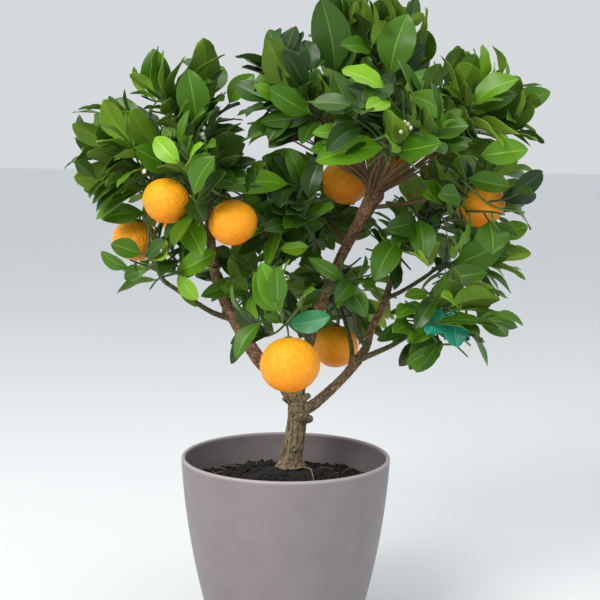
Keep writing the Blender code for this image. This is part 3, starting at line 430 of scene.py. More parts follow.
MASSES = {
    "foliage_left_outer": Mass(
        "bough_left", 0.93, (-134, -12, 500), (-160, -15, 515), (62, 65, 70), 11,
        leading=(
            (-172, -10, 508, -216, -20, 530, 26, "deep"), (-178, 0, 484, -211, 0, 477, 21),
            (-147, -10, 454, -191, -20, 449, 22), (-154, 30, 548, -182, 36, 572, 22),
            (-166, -20, 513, -154, -30, 556, 23, "bright"))),
    "foliage_left_top": Mass(
        "bough_left", 1.0, (-100, 10, 536), (-105, 10, 560), (62, 62, 70), 12,
        leading=(
            (-130, 20, 567, -140, 10, 622, 32), (-93, -10, 544, -102, -20, 600, 34),
            (-62, 20, 567, -36, 10, 597, 21, "bright"), (-79, 40, 579, -72, 50, 608, 21))),
    "foliage_left_front": Mass(
        "bough_left", 0.88, (-84, -40, 486), (-78, -70, 485), (70, 58, 70), 13,
        leading=(
            (-92, -74, 484, -74, -94, 516, 32, "bright"), (-105, -48, 446, -82, -78, 416, 28, "bright"),
            (-115, -45, 500, -148, -70, 520, 28)),
        fruits=(((-119, -60, 469), 48.6, (0.35, 0.3, 0.9)), ((-53, -70, 449), 49, (-0.3, 0.35, 0.9)))),
    "foliage_left_back": Mass(
        "bough_left", 0.84, (-112, 62, 478), (-120, 100, 500), (80, 70, 85), 14, 12,
        fruits=(((-128, 104, 452), 50, (0.1, -0.2, 0.95)),)),
    "foliage_left_low": Mass(
        "branch_left_low", 1.0, (-132, -32, 402), (-125, -25, 412), (62, 55, 55), 15, 6,
        leading=(
            (-148, -32, 414, -178, -36, 424, 21), (-144, -30, 398, -166, -26, 388, 18),
            (-93, 10, 419, -108, 4, 386, 24)),
        fruits=(((-160, 15, 425), 48.3, (0.2, -0.2, 0.95)),)),
    "foliage_left_inner": Mass(
        "branch_left_inner", 1.0, (-31, 14, 384), (-36, 12, 380), (62, 50, 52), 16, 7,
        leading=((-34, 4, 378, -88, -26, 371, 21), (-33, 20, 393, -66, 28, 396, 25, "bright"))),
    "foliage_mid": Mass(
        "branch_mid", 1.0, (6, -18, 458), (-8, -25, 462), (66, 60, 60), 17,
        leading=(
            (2, -40, 486, -63, -80, 484, 26, "bright"), (17, -20, 456, -31, -50, 464, 20),
            (21, -30, 423, -7, -40, 421, 16, "young"))),
    "foliage_inner": Mass(
        "branch_inner", 1.0, (60, -18, 390), (50, -20, 395), (45, 45, 42), 18, 3,
        leading=((58, -26, 390, 21, -45, 413, 16), (62, -22, 384, 80, -36, 352, 20))),
    "foliage_crown_left": Mass(
        "bough_centre", 0.965, (26, -8, 556), (-2, -8, 575), (68, 64, 66), 19, 11,
        leading=((22, -20, 568, -22, -44, 629, 38, "mid", UNDER), (22, -40, 556, -21, -58, 580, 28))),
    "foliage_crown_top": Mass(
        "bough_centre", 1.0, (78, 12, 590), (80, 10, 622), (72, 66, 64), 20, 12,
        leading=(
            (46, -18, 596, 31, -34, 669, 40, "deep"), (66, 18, 640, 68, 20, 683, 28),
            (101, -30, 594, 117, -34, 655, 38), (131, 14, 606, 142, 12, 643, 28))),
    "foliage_crown_front": Mass(
        "bough_centre", 0.93, (104, -60, 530), (98, -85, 542), (74, 60, 66), 21, 9,
        leading=(
            (94, -88, 524, 26, -120, 510, 30, "bright"), (104, -92, 520, 142, -130, 528, 29),
            (134, -90, 540, 170, -110, 544, 25), (149, -80, 553, 115, -100, 573, 25, "bright"),
            (100, -84, 584, 70, -110, 565, 25, "deep"))),
    "foliage_crown_right": Mass(
        "bough_centre", 0.955, (176, 0, 546), (190, -4, 562), (74, 66, 62), 22, 11,
        leading=(
            (219, 0, 563, 267, 0, 582, 25), (203, 2, 561, 218, 0, 600, 25),
            (192, -30, 516, 239, -40, 523, 28, "bright"), (163, 24, 590, 182, 34, 626, 19))),
    "foliage_crown_back": Mass(
        "bough_centre", 0.94, (94, 82, 548), (95, 115, 565), (84, 70, 82), 23, 12,
        fruits=(((112, 128, 508), 52, (-0.1, -0.25, 0.95)),)),
    "foliage_right_side": Mass(
        "bough_centre", 0.89, (180, -6, 486), (194, -6, 476), (66, 66, 56), 24, 8,
        leading=(
            (180, -30, 494, 223, -36, 486, 23), (172, -46, 473, 147, -70, 478, 22),
            (205, -18, 450, 208, -32, 417, 33), (220, 10, 432, 250, 10, 444, 21, "bright")),
        fruits=(((200, 10, 466), 52.3, (-0.4, 0.0, 0.9)),)),
    "foliage_right_back": Mass(
        "bough_right", 1.0, (150, 84, 440), (180, 108, 462), (80, 64, 82), 25, 13),
    "foliage_right_inner": Mass(
        "bough_right", 0.95, (118, 26, 424), (112, 6, 424), (52, 52, 50), 26, 6,
        leading=((116, 6, 430, 89, -24, 388, 30), (136, 0, 450, 140, -22, 410, 28))),
    "foliage_right_mid": Mass(
        "branch_right_mid", 1.0, (170, 26, 402), (192, 30, 400), (62, 52, 40), 27, 6,
        leading=((193, 20, 408, 231, 10, 412, 21), (160, 10, 389, 208, 0, 396, 24))),
    "foliage_right_low": Mass(
        "branch_right_low", 1.0, (158, -8, 350), (168, -20, 346), (74, 58, 58), 28, 8,
        leading=(
            # The first two leaves' tone is painted sky reflection on their gloss
            (158, -26, 360, 142, -50, 337, 30, "sky_sheen"), (168, -30, 358, 172, -48, 324, 28, "sky_sheen"),
            (194, -10, 360, 229, -12, 331, 23), (147, -18, 334, 134, -25, 294, 30))),
    "foliage_back_mid": Mass(
        "branch_back", 1.0, (32, 106, 462), (22, 118, 452), (76, 72, 72), 29, 12,
        fruits=(((62, 75, 487), 55, (0.0, 0.35, 0.9)),)),
    "foliage_back_low": Mass(
        "branch_back_low", 1.0, (56, 100, 364), (58, 108, 350), (66, 56, 62), 30, 7,
        fruits=(((54, 100, 301), 52.5, (0.05, 0.1, 0.95)),)),
    "foliage_front_fruit": Mass(
        "branch_front", 1.0, (-2, -68, 352), (4, -78, 345), (62, 50, 75), 31, 0,
        leading=(
            # The second leaf's tone is a faint painted sky reflection
            (-4, -76, 362, -30, -96, 403, 30, "bright"), (2, -76, 350, 43, -90, 360, 23, "faint_sky_reflection"),
            (-6, -76, 352, -22, -88, 360, 10)),
        fruits=(((4, -85, 311), 60, (-0.05, 0.15, 0.95)),)),
}


@dataclass
class Twig:
    """A bent twig by the points along it, the radius at each and the twig that bears it, if any."""
    route: list
    radii: list
    parent: object = None


@dataclass
class Leaf:
    """A leaf by its root, its tip, the way its upper face looks, its width, twig and set tone."""
    root: Vector
    tip: Vector
    face: Vector
    width: float
    host: Twig = None
    tone: str = None

    def axes(self):
        """The ways along the leaf, across it and out of its upper face."""
        x = (self.tip - self.root).normalized()
        y = self.face.cross(x).normalized()
        return x, y, x.cross(y)


def pot_radius(depth):
    """Outer radius of the pot at a depth below its rim."""
    return RIM_RADIUS - POT_SLOPE * depth - POT_BOW * depth ** 2


def clamp(value):
    """A value kept between nought and one."""
    return min(1.0, max(0.0, value))


def drawn(rng, low, high, scale=1.0):
    """A vector of three random values."""
    return Vector([rng.uniform(low, high) * scale for _ in range(3)])


def smooth_route(points, step):
    """Points with radii along a smooth curve through the given ones, about a step apart."""
    knots = [Vector(p) for p in points]
    knots = [knots[0] * 2 - knots[1]] + knots + [knots[-1] * 2 - knots[-2]]
    out = []
    for a, b, c, d in zip(knots, knots[1:], knots[2:], knots[3:]):
        count = max(1, round((c.xyz - b.xyz).length / step))
        for k in range(count):
            t = k / count
            out.append(0.5 * (2 * b + (c - a) * t + (2 * a - 5 * b + 4 * c - d) * t ** 2
                              + (3 * b - a - 3 * c + d) * t ** 3))
    out.append(knots[-2])
    return [p.xyz for p in out], [p.w for p in out]


def bend(start, end, pull, count):
    """Points of a curve from start to end whose middle is drawn towards the pull point."""
    out = []
    for k in range(count):
        t = k / (count - 1)
        out.append(start * (1 - t) ** 2 + pull * 2 * t * (1 - t) + end * t ** 2)
    return out


def taper(radii, count):
    """Evenly falling radii."""
    return [radii[0] + (radii[1] - radii[0]) * k / (count - 1) for k in range(count)]


def along_route(route, t):
    """The point and the direction at a fraction of a route's length."""
    lengths = [(b - a).length for a, b in zip(route, route[1:])]
    left = max(0.0, min(1.0, t)) * sum(lengths)
    for a, b, length in zip(route, route[1:], lengths):
        if left <= length + 1e-9:
            return a + (b - a) * (left / length), (b - a).normalized()
        left -= length
    return route[-1], (route[-1] - route[-2]).normalized()


def spread_way(number, count, phase):
    """One of a number of directions spread evenly over a sphere."""
    rise = 1 - 2 * (number + 0.5) / count
    angle = phase + TURN * number
    flat = math.sqrt(1 - rise * rise)
    return Vector((math.cos(angle) * flat, math.sin(angle) * flat, rise))


def ring_faces(rings, sides):
    """Faces of a closed skin over rings of points, with a cap at each end."""
    faces = []
    for ring in range(rings - 1):
        for k in range(sides):
            a = ring * sides + k
            b = ring * sides + (k + 1) % sides
            faces.append((a, b, b + sides, a + sides))
    last = (rings - 1) * sides
    return faces + [tuple(reversed(range(sides))), tuple(range(last, last + sides))]


def level_ring(x, y, z, radius, sides):
    """Points of a level ring."""
    angles = [2 * math.pi * k / sides for k in range(sides)]
    return [Vector((x + radius * math.cos(angle), y + radius * math.sin(angle), z)) for angle in angles]


def sweep(route, radii, sides, extra=0.0):
    """Vertices and faces of a closed tapering tube with the given number of sides."""
    verts = []
    tangents = [(b - a).normalized() for a, b in zip(route, route[1:])]
    inner = [(a + b).normalized() for a, b in zip(tangents, tangents[1:])]
    tangents = [tangents[0]] + inner + [tangents[-1]]
    side = tangents[0].orthogonal().normalized()
    for point, tangent, radius in zip(route, tangents, radii):
        side = (side - tangent * side.dot(tangent)).normalized()
        other = tangent.cross(side)
        for k in range(sides):
            angle = 2 * math.pi * k / sides
            verts.append(point + (side * math.cos(angle) + other * math.sin(angle)) * (radius + extra))
    return verts, ring_faces(len(route), sides)


def shape_of(bm):
    """Vertices and faces of a mesh in the making, which is freed."""
    verts = [v.co.copy() for v in bm.verts]
    faces = [tuple(v.index for v in f.verts) for f in bm.faces]
    bm.free()
    return verts, faces


def round_form(rounds, radius=1.0, matrix=None):
    """Vertices and faces of a round form."""
    bm = bmesh.new()
    bmesh.ops.create_icosphere(bm, subdivisions=rounds, radius=radius)
    if matrix:
        bmesh.ops.transform(bm, matrix=matrix, verts=bm.verts)
    return shape_of(bm)


def diamond_form():
    """Vertices and faces of a sphere with four sides and two rows, which a leaf's solid comes from."""
    bm = bmesh.new()
    bmesh.ops.create_uvsphere(bm, u_segments=4, v_segments=2, radius=1.0)
    return shape_of(bm)


LEAF_FORM = diamond_form()


def placed(centre, axis, size):
    """The matrix that scales a form, turns its top to an axis and moves it to a centre."""
    turn = axis.to_track_quat("Z", "Y").to_matrix().to_4x4()
    return Matrix.Translation(centre) @ turn @ Matrix.Diagonal((*size, 1))


def fruit_place(fruit):
    """The matrix that makes a round form a fruit."""
    return placed(fruit.centre, fruit.axis, (1, 1, FRUIT_SQUASH))


def leaf_shape(leaf, extra=0.0):
    """A four-sided squashed sphere with its thick part towards the root, which is sunk back."""
    length = (leaf.tip - leaf.root).length + LEAF_SINK
    x, y, z = leaf.axes()
    middle = leaf.root + x * (length / 2 - LEAF_SINK)
    half = Vector((length, leaf.width, length * LEAF_THICKNESS)) / 2 + Vector((extra, extra, extra))
    verts = []
    for v in LEAF_FORM[0]:
        shift = POLE_SHIFT * half.x * abs(v.z)
        verts.append(middle + x * (v.x * half.x + shift) + y * v.y * half.y + z * v.z * half.z)
    return verts, LEAF_FORM[1]


def join(verts, faces, shape):
    """Adds a shape's vertices and faces to lists of them."""
    start = len(verts)
    verts.extend(shape[0])
    faces.extend(tuple(i + start for i in f) for f in shape[1])


def tree_of(shapes):
    """One search tree for touching tests over several shapes."""
    verts, faces = [], []
    for shape in shapes:
        join(verts, faces, shape)
    return BVHTree.FromPolygons(verts, faces)


def corners(verts):
    """The lowest and the highest corner of the box round some points."""
    return [min(v[i] for v in verts) for i in range(3)], [max(v[i] for v in verts) for i in range(3)]


def in_space(mass, point):
    """Whether a point lies in a mass's own space, nearer its centre than any other's."""
    offset = point - mass.centre
    if sum((o / r) ** 2 for o, r in zip(offset, mass.reach)) > SPACE_SPREAD ** 2:
        return False
    for other in MASSES.values():
        if other is mass:
            continue
        way = other.centre - mass.centre
        if (point - (mass.centre + other.centre) / 2).dot(way) > -SPACE_MARGIN * way.length:
            return False
    return True


def all_fruit():
    """Every fruit of the tree."""
    return [fruit for mass in MASSES.values() for fruit in mass.fruits]


def twig_start(mass, number):
    """The place on a mass's stem where its numbered twig begins, the first near the hub."""
    count = len(mass.fruits) + len(mass.leading) + mass.shoots
    return along_route(mass.stem.route, FIRST_TWIG - TWIG_STRETCH * number / count)[0]


def facing(root, heading, turn, rng):
    """The way a leaf's upper face looks: up, out from the tree and towards its twig's tip."""
    out = (root - TREE_AXIS) * Vector((1, 1, 0))
    look = FACE_UP + out.normalized() * FACE_OUT + turn * FACE_ON
    look += drawn(rng, -FACE_WANDER, FACE_WANDER)
    look -= heading * look.dot(heading)
    return look.normalized()


class Growth:
    """Grows every mass's stem, twigs and leaves, and its fruit's stalks, each kept clear of the rest."""

    def __init__(self):
        limbs = {name: smooth_route(points, LIMB_STEP) for name, points in LIMBS.items()}
        self.limb_tree = tree_of([sweep(*limb, LIMB_SIDES, CLEAR) for limb in limbs.values()])
        rounds = [round_form(FRUIT_ROUNDS, f.diameter / 2 + CLEAR, fruit_place(f)) for f in all_fruit()]
        self.fruit_tree = tree_of(rounds)
        self.grown = []
        self.leaf_scale = 1.0
        for mass in MASSES.values():
            self.grow_stem(mass, limbs[mass.limb][0])
        for mass in MASSES.values():
            self.lead(mass)
        for mass in MASSES.values():
            self.fill(mass)
        for self.leaf_scale, share in FINER_ROUNDS:
            for mass in MASSES.values():
                self.fill_finer(mass, share)

    def keep(self, thing, shape):
        """Remembers a grown thing's shape for later tests."""
        self.grown.append((thing, *corners(shape[0]), tree_of([shape])))

    def touches(self, shape, host):
        """Whether a shape touches a limb, a fruit or anything grown so far but its host."""
        tree = tree_of([shape])
        if tree.overlap(self.limb_tree) or tree.overlap(self.fruit_tree):
            return True
        low, high = corners(shape[0])
        for thing, other_low, other_high, other in self.grown:
            if thing is host:
                continue
            if any(low[i] > other_high[i] or high[i] < other_low[i] for i in range(3)):
                continue
            if tree.overlap(other):
                return True
        return False

    def grow_stem(self, mass, limb):
        """Grows a mass's stem, from inside its limb to its hub."""
        foot, direction = along_route(limb, mass.along)
        if mass.along == 1.0:
            foot = foot - direction * STEM_RADII[0]
            pull = foot + direction * (mass.hub - foot).length * 0.5
        else:
            pull = foot.lerp(mass.hub, 0.5) + STEM_SAG * (mass.hub - foot).length
        mass.stem = Twig(bend(foot, mass.hub, pull, 5), taper(STEM_RADII, 5))
        self.keep(mass.stem, sweep(mass.stem.route, mass.stem.radii, STEM_SIDES))

    def grow_twig(self, mass, start, end, heading, rng, test=True):
        """Adds a twig from its start to its end, arriving along the heading, if it is clear."""
        span = (end - start).length
        pull = end - heading * span * TWIG_PULL + drawn(rng, -TWIG_WANDER, TWIG_WANDER, span)
        twig = Twig(bend(start, end, pull, 3), taper(TWIG_RADII, 3))
        if test:
            body = sweep(twig.route[1:], [r + CLEAR for r in twig.radii[1:]], TWIG_SIDES)
            if not in_space(mass, end) or self.touches(body, mass.stem):
                return None
        mass.twigs.append(twig)
        self.keep(twig, sweep(twig.route, twig.radii, TWIG_SIDES))
        return twig

    def grow_leaf(self, mass, leaf, twig, test=True):
        """Adds a leaf if it stays in its mass's space and touches nothing but its twig."""
        shape = leaf_shape(leaf)
        if test:
            if not all(in_space(mass, v) for v in shape[0]):
                return False
            if self.touches(leaf_shape(leaf, CLEAR), twig):
                return False
        leaf.host = twig
        mass.leaves.append(leaf)
        self.keep(leaf, shape)
        return True

    def leaf_size(self, rng):
        """A leaf's length, drawn about the mean."""
        size = rng.gauss(LEAF_MEAN, LEAF_SPREAD)
        return min(max(size, LEAF_RANGE[0]), LEAF_RANGE[1]) * self.leaf_scale

    def leaf_along(self, mass, twig, t, angle, rng):
        """Tries a leaf at a place along a twig, turning and shrinking it until it fits."""
        point, direction = along_route(twig.route, t)
        side = direction.orthogonal().normalized()
        other = direction.cross(side)
        size = self.leaf_size(rng)
        aspect = LEAF_ASPECT * rng.uniform(*ASPECT_RANGE)
        spread = math.radians(rng.uniform(*LEAF_ANGLES))
        for attempt in range(TRIES * len(SHRINKS)):
            length = size * SHRINKS[attempt // TRIES]
            around = angle + attempt * TRY_TURN
            radial = side * math.cos(around) + other * math.sin(around)
            heading = (direction * math.cos(spread) + radial * math.sin(spread)).normalized()
            face = facing(point, heading, direction, rng)
            if self.grow_leaf(mass, Leaf(point, point + heading * length, face, length * aspect), twig):
                return

    def leaf_at_end(self, mass, twig, rng):
        """Tries a leaf that carries on from a twig's tip."""
        point, direction = along_route(twig.route, 1.0)
        size = self.leaf_size(rng)
        for shrink in SHRINKS:
            heading = (direction + drawn(rng, -END_WANDER, END_WANDER)).normalized()
            root = point - direction * LEAF_BACK
            face = facing(root, heading, direction, rng)
            leaf = Leaf(root, root + heading * size * shrink, face, size * shrink * LEAF_ASPECT)
            if self.grow_leaf(mass, leaf, twig):
                return

    def lead(self, mass):
        """Grows a mass's fruit stalks and the leading leaves that give the crown its outline."""
        rng = random.Random(mass.seed)
        for number, fruit in enumerate(mass.fruits):
            hub = twig_start(mass, number)
            top = fruit.centre + fruit.axis * fruit.diameter / 2 * FRUIT_SQUASH * STALK_DEPTH
            pull = top + fruit.axis * max(STALK_ARCH, (top - hub).length * 0.5)
            stalk = Twig(bend(hub, top, pull, 5), taper(TWIG_RADII, 5))
            mass.twigs.append(stalk)
            self.keep(stalk, sweep(stalk.route, stalk.radii, TWIG_SIDES))
        for number, row in enumerate(mass.leading, len(mass.fruits)):
            root, tip, width, tone, side = leading_leaf(*row)
            heading = (tip - root).normalized()
            twig = self.grow_twig(mass, twig_start(mass, number), root, heading, rng, test=False)
            face = FRONT * side
            face -= heading * face.dot(heading)
            leaf = Leaf(root - heading * LEAF_BACK, tip, face.normalized(), width, tone=tone)
            self.grow_leaf(mass, leaf, twig, test=False)

    def fill(self, mass):
        """Grows the rest of a mass: twigs spread evenly in all directions with leaves along them."""
        rng = random.Random(mass.seed + 1000)
        for twig in mass.twigs[len(mass.fruits):]:
            self.clothe(mass, twig, rng, ended=True)
        phase = rng.uniform(0, 2 * math.pi)
        first = len(mass.fruits) + len(mass.leading)
        for k in range(mass.shoots):
            way = spread_way(k, mass.shoots, phase)
            self.shoot(mass, twig_start(mass, first + k), way, TWIG_REACH, TWIG_LEAST, rng)

    def fill_finer(self, mass, share):
        """Carries a mass on to finer twigs that leave its other twigs, inside the same space."""
        rng = random.Random(mass.seed + round(self.leaf_scale * 10000))
        hosts = mass.twigs[len(mass.fruits):]
        count = round(max(mass.shoots, 2) * share)
        phase = rng.uniform(0, 2 * math.pi)
        for k in range(count):
            host = rng.choice(hosts)
            start = along_route(host.route, rng.uniform(*FINER_START))[0]
            self.shoot(mass, start, spread_way(k, count, phase), FINER_REACH, FINER_LEAST, rng, host)

    def shoot(self, mass, start, way, reaches, least, rng, parent=None):
        """Grows a twig as far out in a direction as it is clear, if it then bears a leaf."""
        heading = (way + TWIG_RISE).normalized()
        for reach in reaches:
            end = mass.centre + way * Vector(mass.reach) * reach
            if (end - start).length < least:
                continue
            twig = self.grow_twig(mass, start, end, heading, rng)
            if twig:
                twig.parent = parent
                if not self.clothe(mass, twig, rng, ended=False):
                    mass.twigs.pop()
                    self.grown.pop()
                return

    def clothe(self, mass, twig, rng, ended):
        """Sets leaves along a twig, each turned on from the last, and returns how many grew."""
        before = len(mass.leaves)
        length = sum((b - a).length for a, b in zip(twig.route, twig.route[1:]))
        if not ended:
            self.leaf_at_end(mass, twig, rng)
        angle = rng.uniform(0, 2 * math.pi)
        back = LEAF_STEP * rng.uniform(*FIRST_STEP)
        while back < length * LEAFY_SHARE:
            self.leaf_along(mass, twig, 1 - back / length, angle, rng)
            angle += TURN
            back += LEAF_STEP * rng.uniform(*NEXT_STEP)
        return len(mass.leaves) - before


class Finish:
    """A Principled material in the making."""

    def __init__(self, name, roughness, specular=0.5):
        self.made = bpy.data.materials.new(name)
        self.made.use_nodes = True
        self.nodes = self.made.node_tree.nodes
        self.shader = self.nodes["Principled BSDF"]
        self.feed(self.shader, {"Roughness": roughness, "Specular IOR Level": specular})

    def feed(self, node, inputs):
        """Links each named socket of a node to an output, or sets its value."""
        for name, value in inputs.items():
            if isinstance(value, bpy.types.NodeSocket):
                self.made.node_tree.links.new(value, node.inputs[name])
            else:
                node.inputs[name].default_value = value

    def node(self, kind, output, inputs, **settings):
        """An output of a new node."""
        made = self.nodes.new(kind)
        for name, value in settings.items():
            setattr(made, name, value)
        self.feed(made, inputs)
        return made.outputs[output]

    def place(self):
        """The piece's own coordinates."""
        return self.node("ShaderNodeTexCoord", "Object", {})

    def noise(self, scale, detail):
        """A noise value over the surface."""
        inputs = {"Vector": self.place(), "Scale": scale, "Detail": detail}
        return self.node("ShaderNodeTexNoise", "Fac", inputs)

    def stored(self, name):
        """A value stored at the mesh's points."""
        return self.node("ShaderNodeAttribute", "Fac", {}, attribute_name=name)

    def ramp(self, source, stops):
        """A colour ramp through (position, colour) stops, fed by a value."""
        made = self.nodes.new("ShaderNodeValToRGB")
        marks = made.color_ramp.elements
        while len(marks) < len(stops):
            marks.new(0.5)
        for mark, (position, colour) in zip(marks, stops):
            mark.position = position
            mark.color = (*colour, 1.0)
        self.feed(made, {"Fac": source})
        return made.outputs["Color"]

    def mix(self, share, first, second):
        """Two colours mixed by a value."""
        inputs = {"Factor": share, "A": first, "B": second}
        return self.node("ShaderNodeMix", "Result", inputs, data_type="RGBA")

    def bump(self, height, strength, distance):
        """Gives the surface relief from a height."""
        inputs = {"Height": height, "Strength": strength, "Distance": distance}
        self.feed(self.shader, {"Normal": self.node("ShaderNodeBump", "Normal", inputs)})

    def coloured(self, colour):
        """The material with its base colour."""
        self.feed(self.shader, {"Base Color": colour})
        return self.made


def plain(name, colour, roughness, specular=0.5):
    """A material of one colour."""
    return Finish(name, roughness, specular).coloured((*colour, 1.0))


def pot_finish():
    """Satin grey-taupe plastic with a faint mottle and a painted highlight along the top of the lip."""
    finish = Finish("pot_plastic", roughness=0.46)
    finish.bump(finish.noise(scale=900.0, detail=4.0), strength=0.12, distance=0.0004)
    wall = finish.ramp(finish.noise(scale=34.0, detail=5.0), POT_TONES)
    # Painted highlight: the top of the lip is mixed towards the pale lip colour
    level = finish.node("ShaderNodeSeparateXYZ", "Z", {"Vector": finish.place()})
    ends = {"Value": level, "From Min": LIP_HIGHLIGHT_FADE[0], "From Max": LIP_HIGHLIGHT_FADE[1]}
    share = finish.node("ShaderNodeMapRange", "Result", ends)
    return finish.coloured(finish.mix(share, wall, (*POT_LIP_HIGHLIGHT, 1.0)))


def soil_finish():
    """Near-black damp potting soil."""
    finish = Finish("potting_soil", roughness=0.92)
    finish.bump(finish.noise(scale=900.0, detail=4.0), strength=0.7, distance=0.0008)
    return finish.coloured(finish.ramp(finish.noise(scale=420.0, detail=5.0), SOIL_TONES))


def bark_finish():
    """Fissured bark: olive-grey on the trunk, red-brown on the boughs, green-brown on thin branches,
    darkened in its fissures as painted shade.
    """
    finish = Finish("bark", roughness=0.86)
    finish.bump(finish.noise(scale=1100.0, detail=4.0), strength=0.6, distance=0.0006)
    # The stored tone: bark mottle, with painted shade in the fissures
    relief = finish.stored("relief")
    old, middle, young = (finish.ramp(relief, tones) for tones in (TRUNK_TONES, BOUGH_TONES, BRANCH_TONES))
    colour = finish.mix(finish.stored("bough_share"), old, middle)
    return finish.coloured(finish.mix(finish.stored("branch_share"), colour, young))


def peel_finish():
    """Citrus peel: orange-yellow, made deeper orange below as painted shade, pitted, with painted shade
    darkening the pits.
    """
    finish = Finish("peel", roughness=0.46, specular=0.32)
    freckle = finish.noise(scale=160.0, detail=3.0)
    upper, lower = (finish.ramp(freckle, tones) for tones in (PEEL_LIT_ABOVE, PEEL_SHADED_BELOW))
    # Painted shade: the lower part of each fruit is mixed towards the deeper orange
    skin = finish.mix(finish.stored("painted_shade_below"), upper, lower)
    pits = finish.node("ShaderNodeTexVoronoi", "Distance", {"Vector": finish.place(), "Scale": 540.0})
    finish.bump(pits, strength=0.7, distance=0.0009)
    # Painted shade: the pits are mixed towards the darker orange
    return finish.coloured(finish.mix(finish.ramp(pits, PIT_SHADE_DOTS), skin, (*PEEL_PIT_SHADE, 1.0)))


def make_object(name, verts, faces, finishes, picks=None):
    """A smooth mesh object with its materials, each face's pick naming its slot."""
    mesh = bpy.data.meshes.new(name)
    mesh.from_pydata([tuple(v) for v in verts], [], faces)
    for finish in finishes:
        mesh.materials.append(finish)
    if picks:
        mesh.polygons.foreach_set("material_index", picks)
    mesh.shade_smooth()
    return add_to_scene(name, mesh)


def add_to_scene(name, data):
    """An object of the scene with the given mesh, light or camera."""
    made = bpy.data.objects.new(name, data)
    bpy.context.scene.collection.objects.link(made)
    return made


def store(piece, name, values):
    """Keeps a value for each point of a piece."""
    layer = piece.data.attributes.new(name, "FLOAT", "POINT")
    layer.data.foreach_set("value", values)


def hand_over(piece, nodes):
    """The piece rides on the plant and stands for the given nodes."""
    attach(piece, "root")
    if nodes:
        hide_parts(*nodes)


class Pile:
    """Shapes of one kind, joined apart into pieces below a limit of triangles."""

    def __init__(self, name, finishes):
        self.name = name
        self.finishes = finishes
        self.parts = [([], [], [])]
        self.count = 0

    def add(self, shape, picks):
        """Adds one shape; picks is one material slot or a slot for each face."""
        triangles = sum(len(f) - 2 for f in shape[1])
        if self.count + triangles > PIECE_LIMIT:
            self.parts.append(([], [], []))
            self.count = 0
        self.count += triangles
        all_verts, all_faces, all_picks = self.parts[-1]
        join(all_verts, all_faces, shape)
        all_picks.extend([picks] * len(shape[1]) if isinstance(picks, int) else picks)

    def build(self, nodes, sharp=None):
        """Makes the pieces."""
        for number, (verts, faces, picks) in enumerate(self.parts, 1):
            piece = make_object(f"{self.name}_{number}", verts, faces, self.finishes, picks)
            if sharp:
                piece.data.set_sharp_from_angle(angle=math.radians(sharp))
            hand_over(piece, nodes)


def leaf_outline(t):
    """The share of its full width that a leaf has at a share of its length, from stalk to tip."""
    if t < STALK_SHARE:
        return STALK_WIDTH
    blade = (t - STALK_SHARE) / (1 - STALK_SHARE)
    least = STALK_WIDTH if blade < STALK_BLEND else TIP_WIDTH
    return max(least, math.sin(math.pi * blade ** OUTLINE_SKEW) ** OUTLINE_FULL)


def leaf_sheet(leaf, width, rng):
    """A leaf's upper sheet, lower sheet and rim, folded along its rib and arched to its tip."""
    length = (leaf.tip - leaf.root).length
    x, y, z = leaf.axes()
    fold = rng.uniform(*LEAF_FOLD)
    arch = rng.uniform(*LEAF_ARCH) * length
    sway = rng.uniform(-LEAF_SWAY, LEAF_SWAY) * length
    wave = rng.uniform(*LEAF_WAVE) * width
    waves = rng.uniform(*LEAF_WAVES)
    phase = rng.uniform(0, 2 * math.pi)
    verts = []
    for row in range(LEAF_ROWS + 1):
        even = row / LEAF_ROWS
        t = even / 2 + (1 - math.cos(math.pi * even)) / 4
        bow = math.sin(math.pi * t)
        centre = leaf.root + x * (t * length) + y * (sway * bow) + z * (arch * bow)
        for across in LEAF_ACROSS:
            side = across * (leaf_outline(t) * (width / 2))
            ripple = math.sin(phase + waves * 2 * math.pi * t + 2 * across)
            lift = abs(side) * fold + wave * across ** 2 * ripple
            if abs(across) < RIB_EDGE:
                lift -= RIB_DROP * (1 - t)
            verts.append(centre + y * side + z * lift)
    columns = len(LEAF_ACROSS)
    below = len(verts)
    for index in range(below):
        swell = RIB_SWELL * (1 - index / below) if abs(LEAF_ACROSS[index % columns]) < RIB_EDGE else 0.0
        verts.append(verts[index] - z * (LEAF_SHEET + swell))
    faces, picks = [], []
    for row in range(LEAF_ROWS):
        for column in range(columns - 1):
            a = row * columns + column
            rib = column == columns // 2 - 1
            faces.append((a, a + 1, a + columns + 1, a + columns))
            faces.append((a + below, a + below + columns, a + below + columns + 1, a + below + 1))
            picks += [RIB, BACK_RIB] if rib else [BLADE, BACK]
    edge = list(range(columns - 1))
    edge += [row * columns + columns - 1 for row in range(LEAF_ROWS)]
    edge += [LEAF_ROWS * columns + k for k in range(columns - 1, 0, -1)]
    edge += [row * columns for row in range(LEAF_ROWS, 0, -1)]
    for a, b in zip(edge, edge[1:] + edge[:1]):
        faces.append((b, a, a + below, b + below))
        picks.append(RIB)
    return (verts, faces), picks


def tone_finishes():
    """Each tone's four materials: blade, back, rib and the rib's back."""
    made = []
    for name, (blade, back, rib) in TONES.items():
        back_rib = [min(1.0, c * BACK_RIB_GAIN) for c in back]
        made.append(plain(f"leaf_{name}", blade, LEAF_GLOSS, LEAF_SPECULAR))
        made.append(plain(f"leaf_{name}_back", back, 0.62, LEAF_SPECULAR))
        made.append(plain(f"leaf_{name}_rib", rib, 0.45))
        made.append(plain(f"leaf_{name}_back_rib", back_rib, 0.6))
    return made


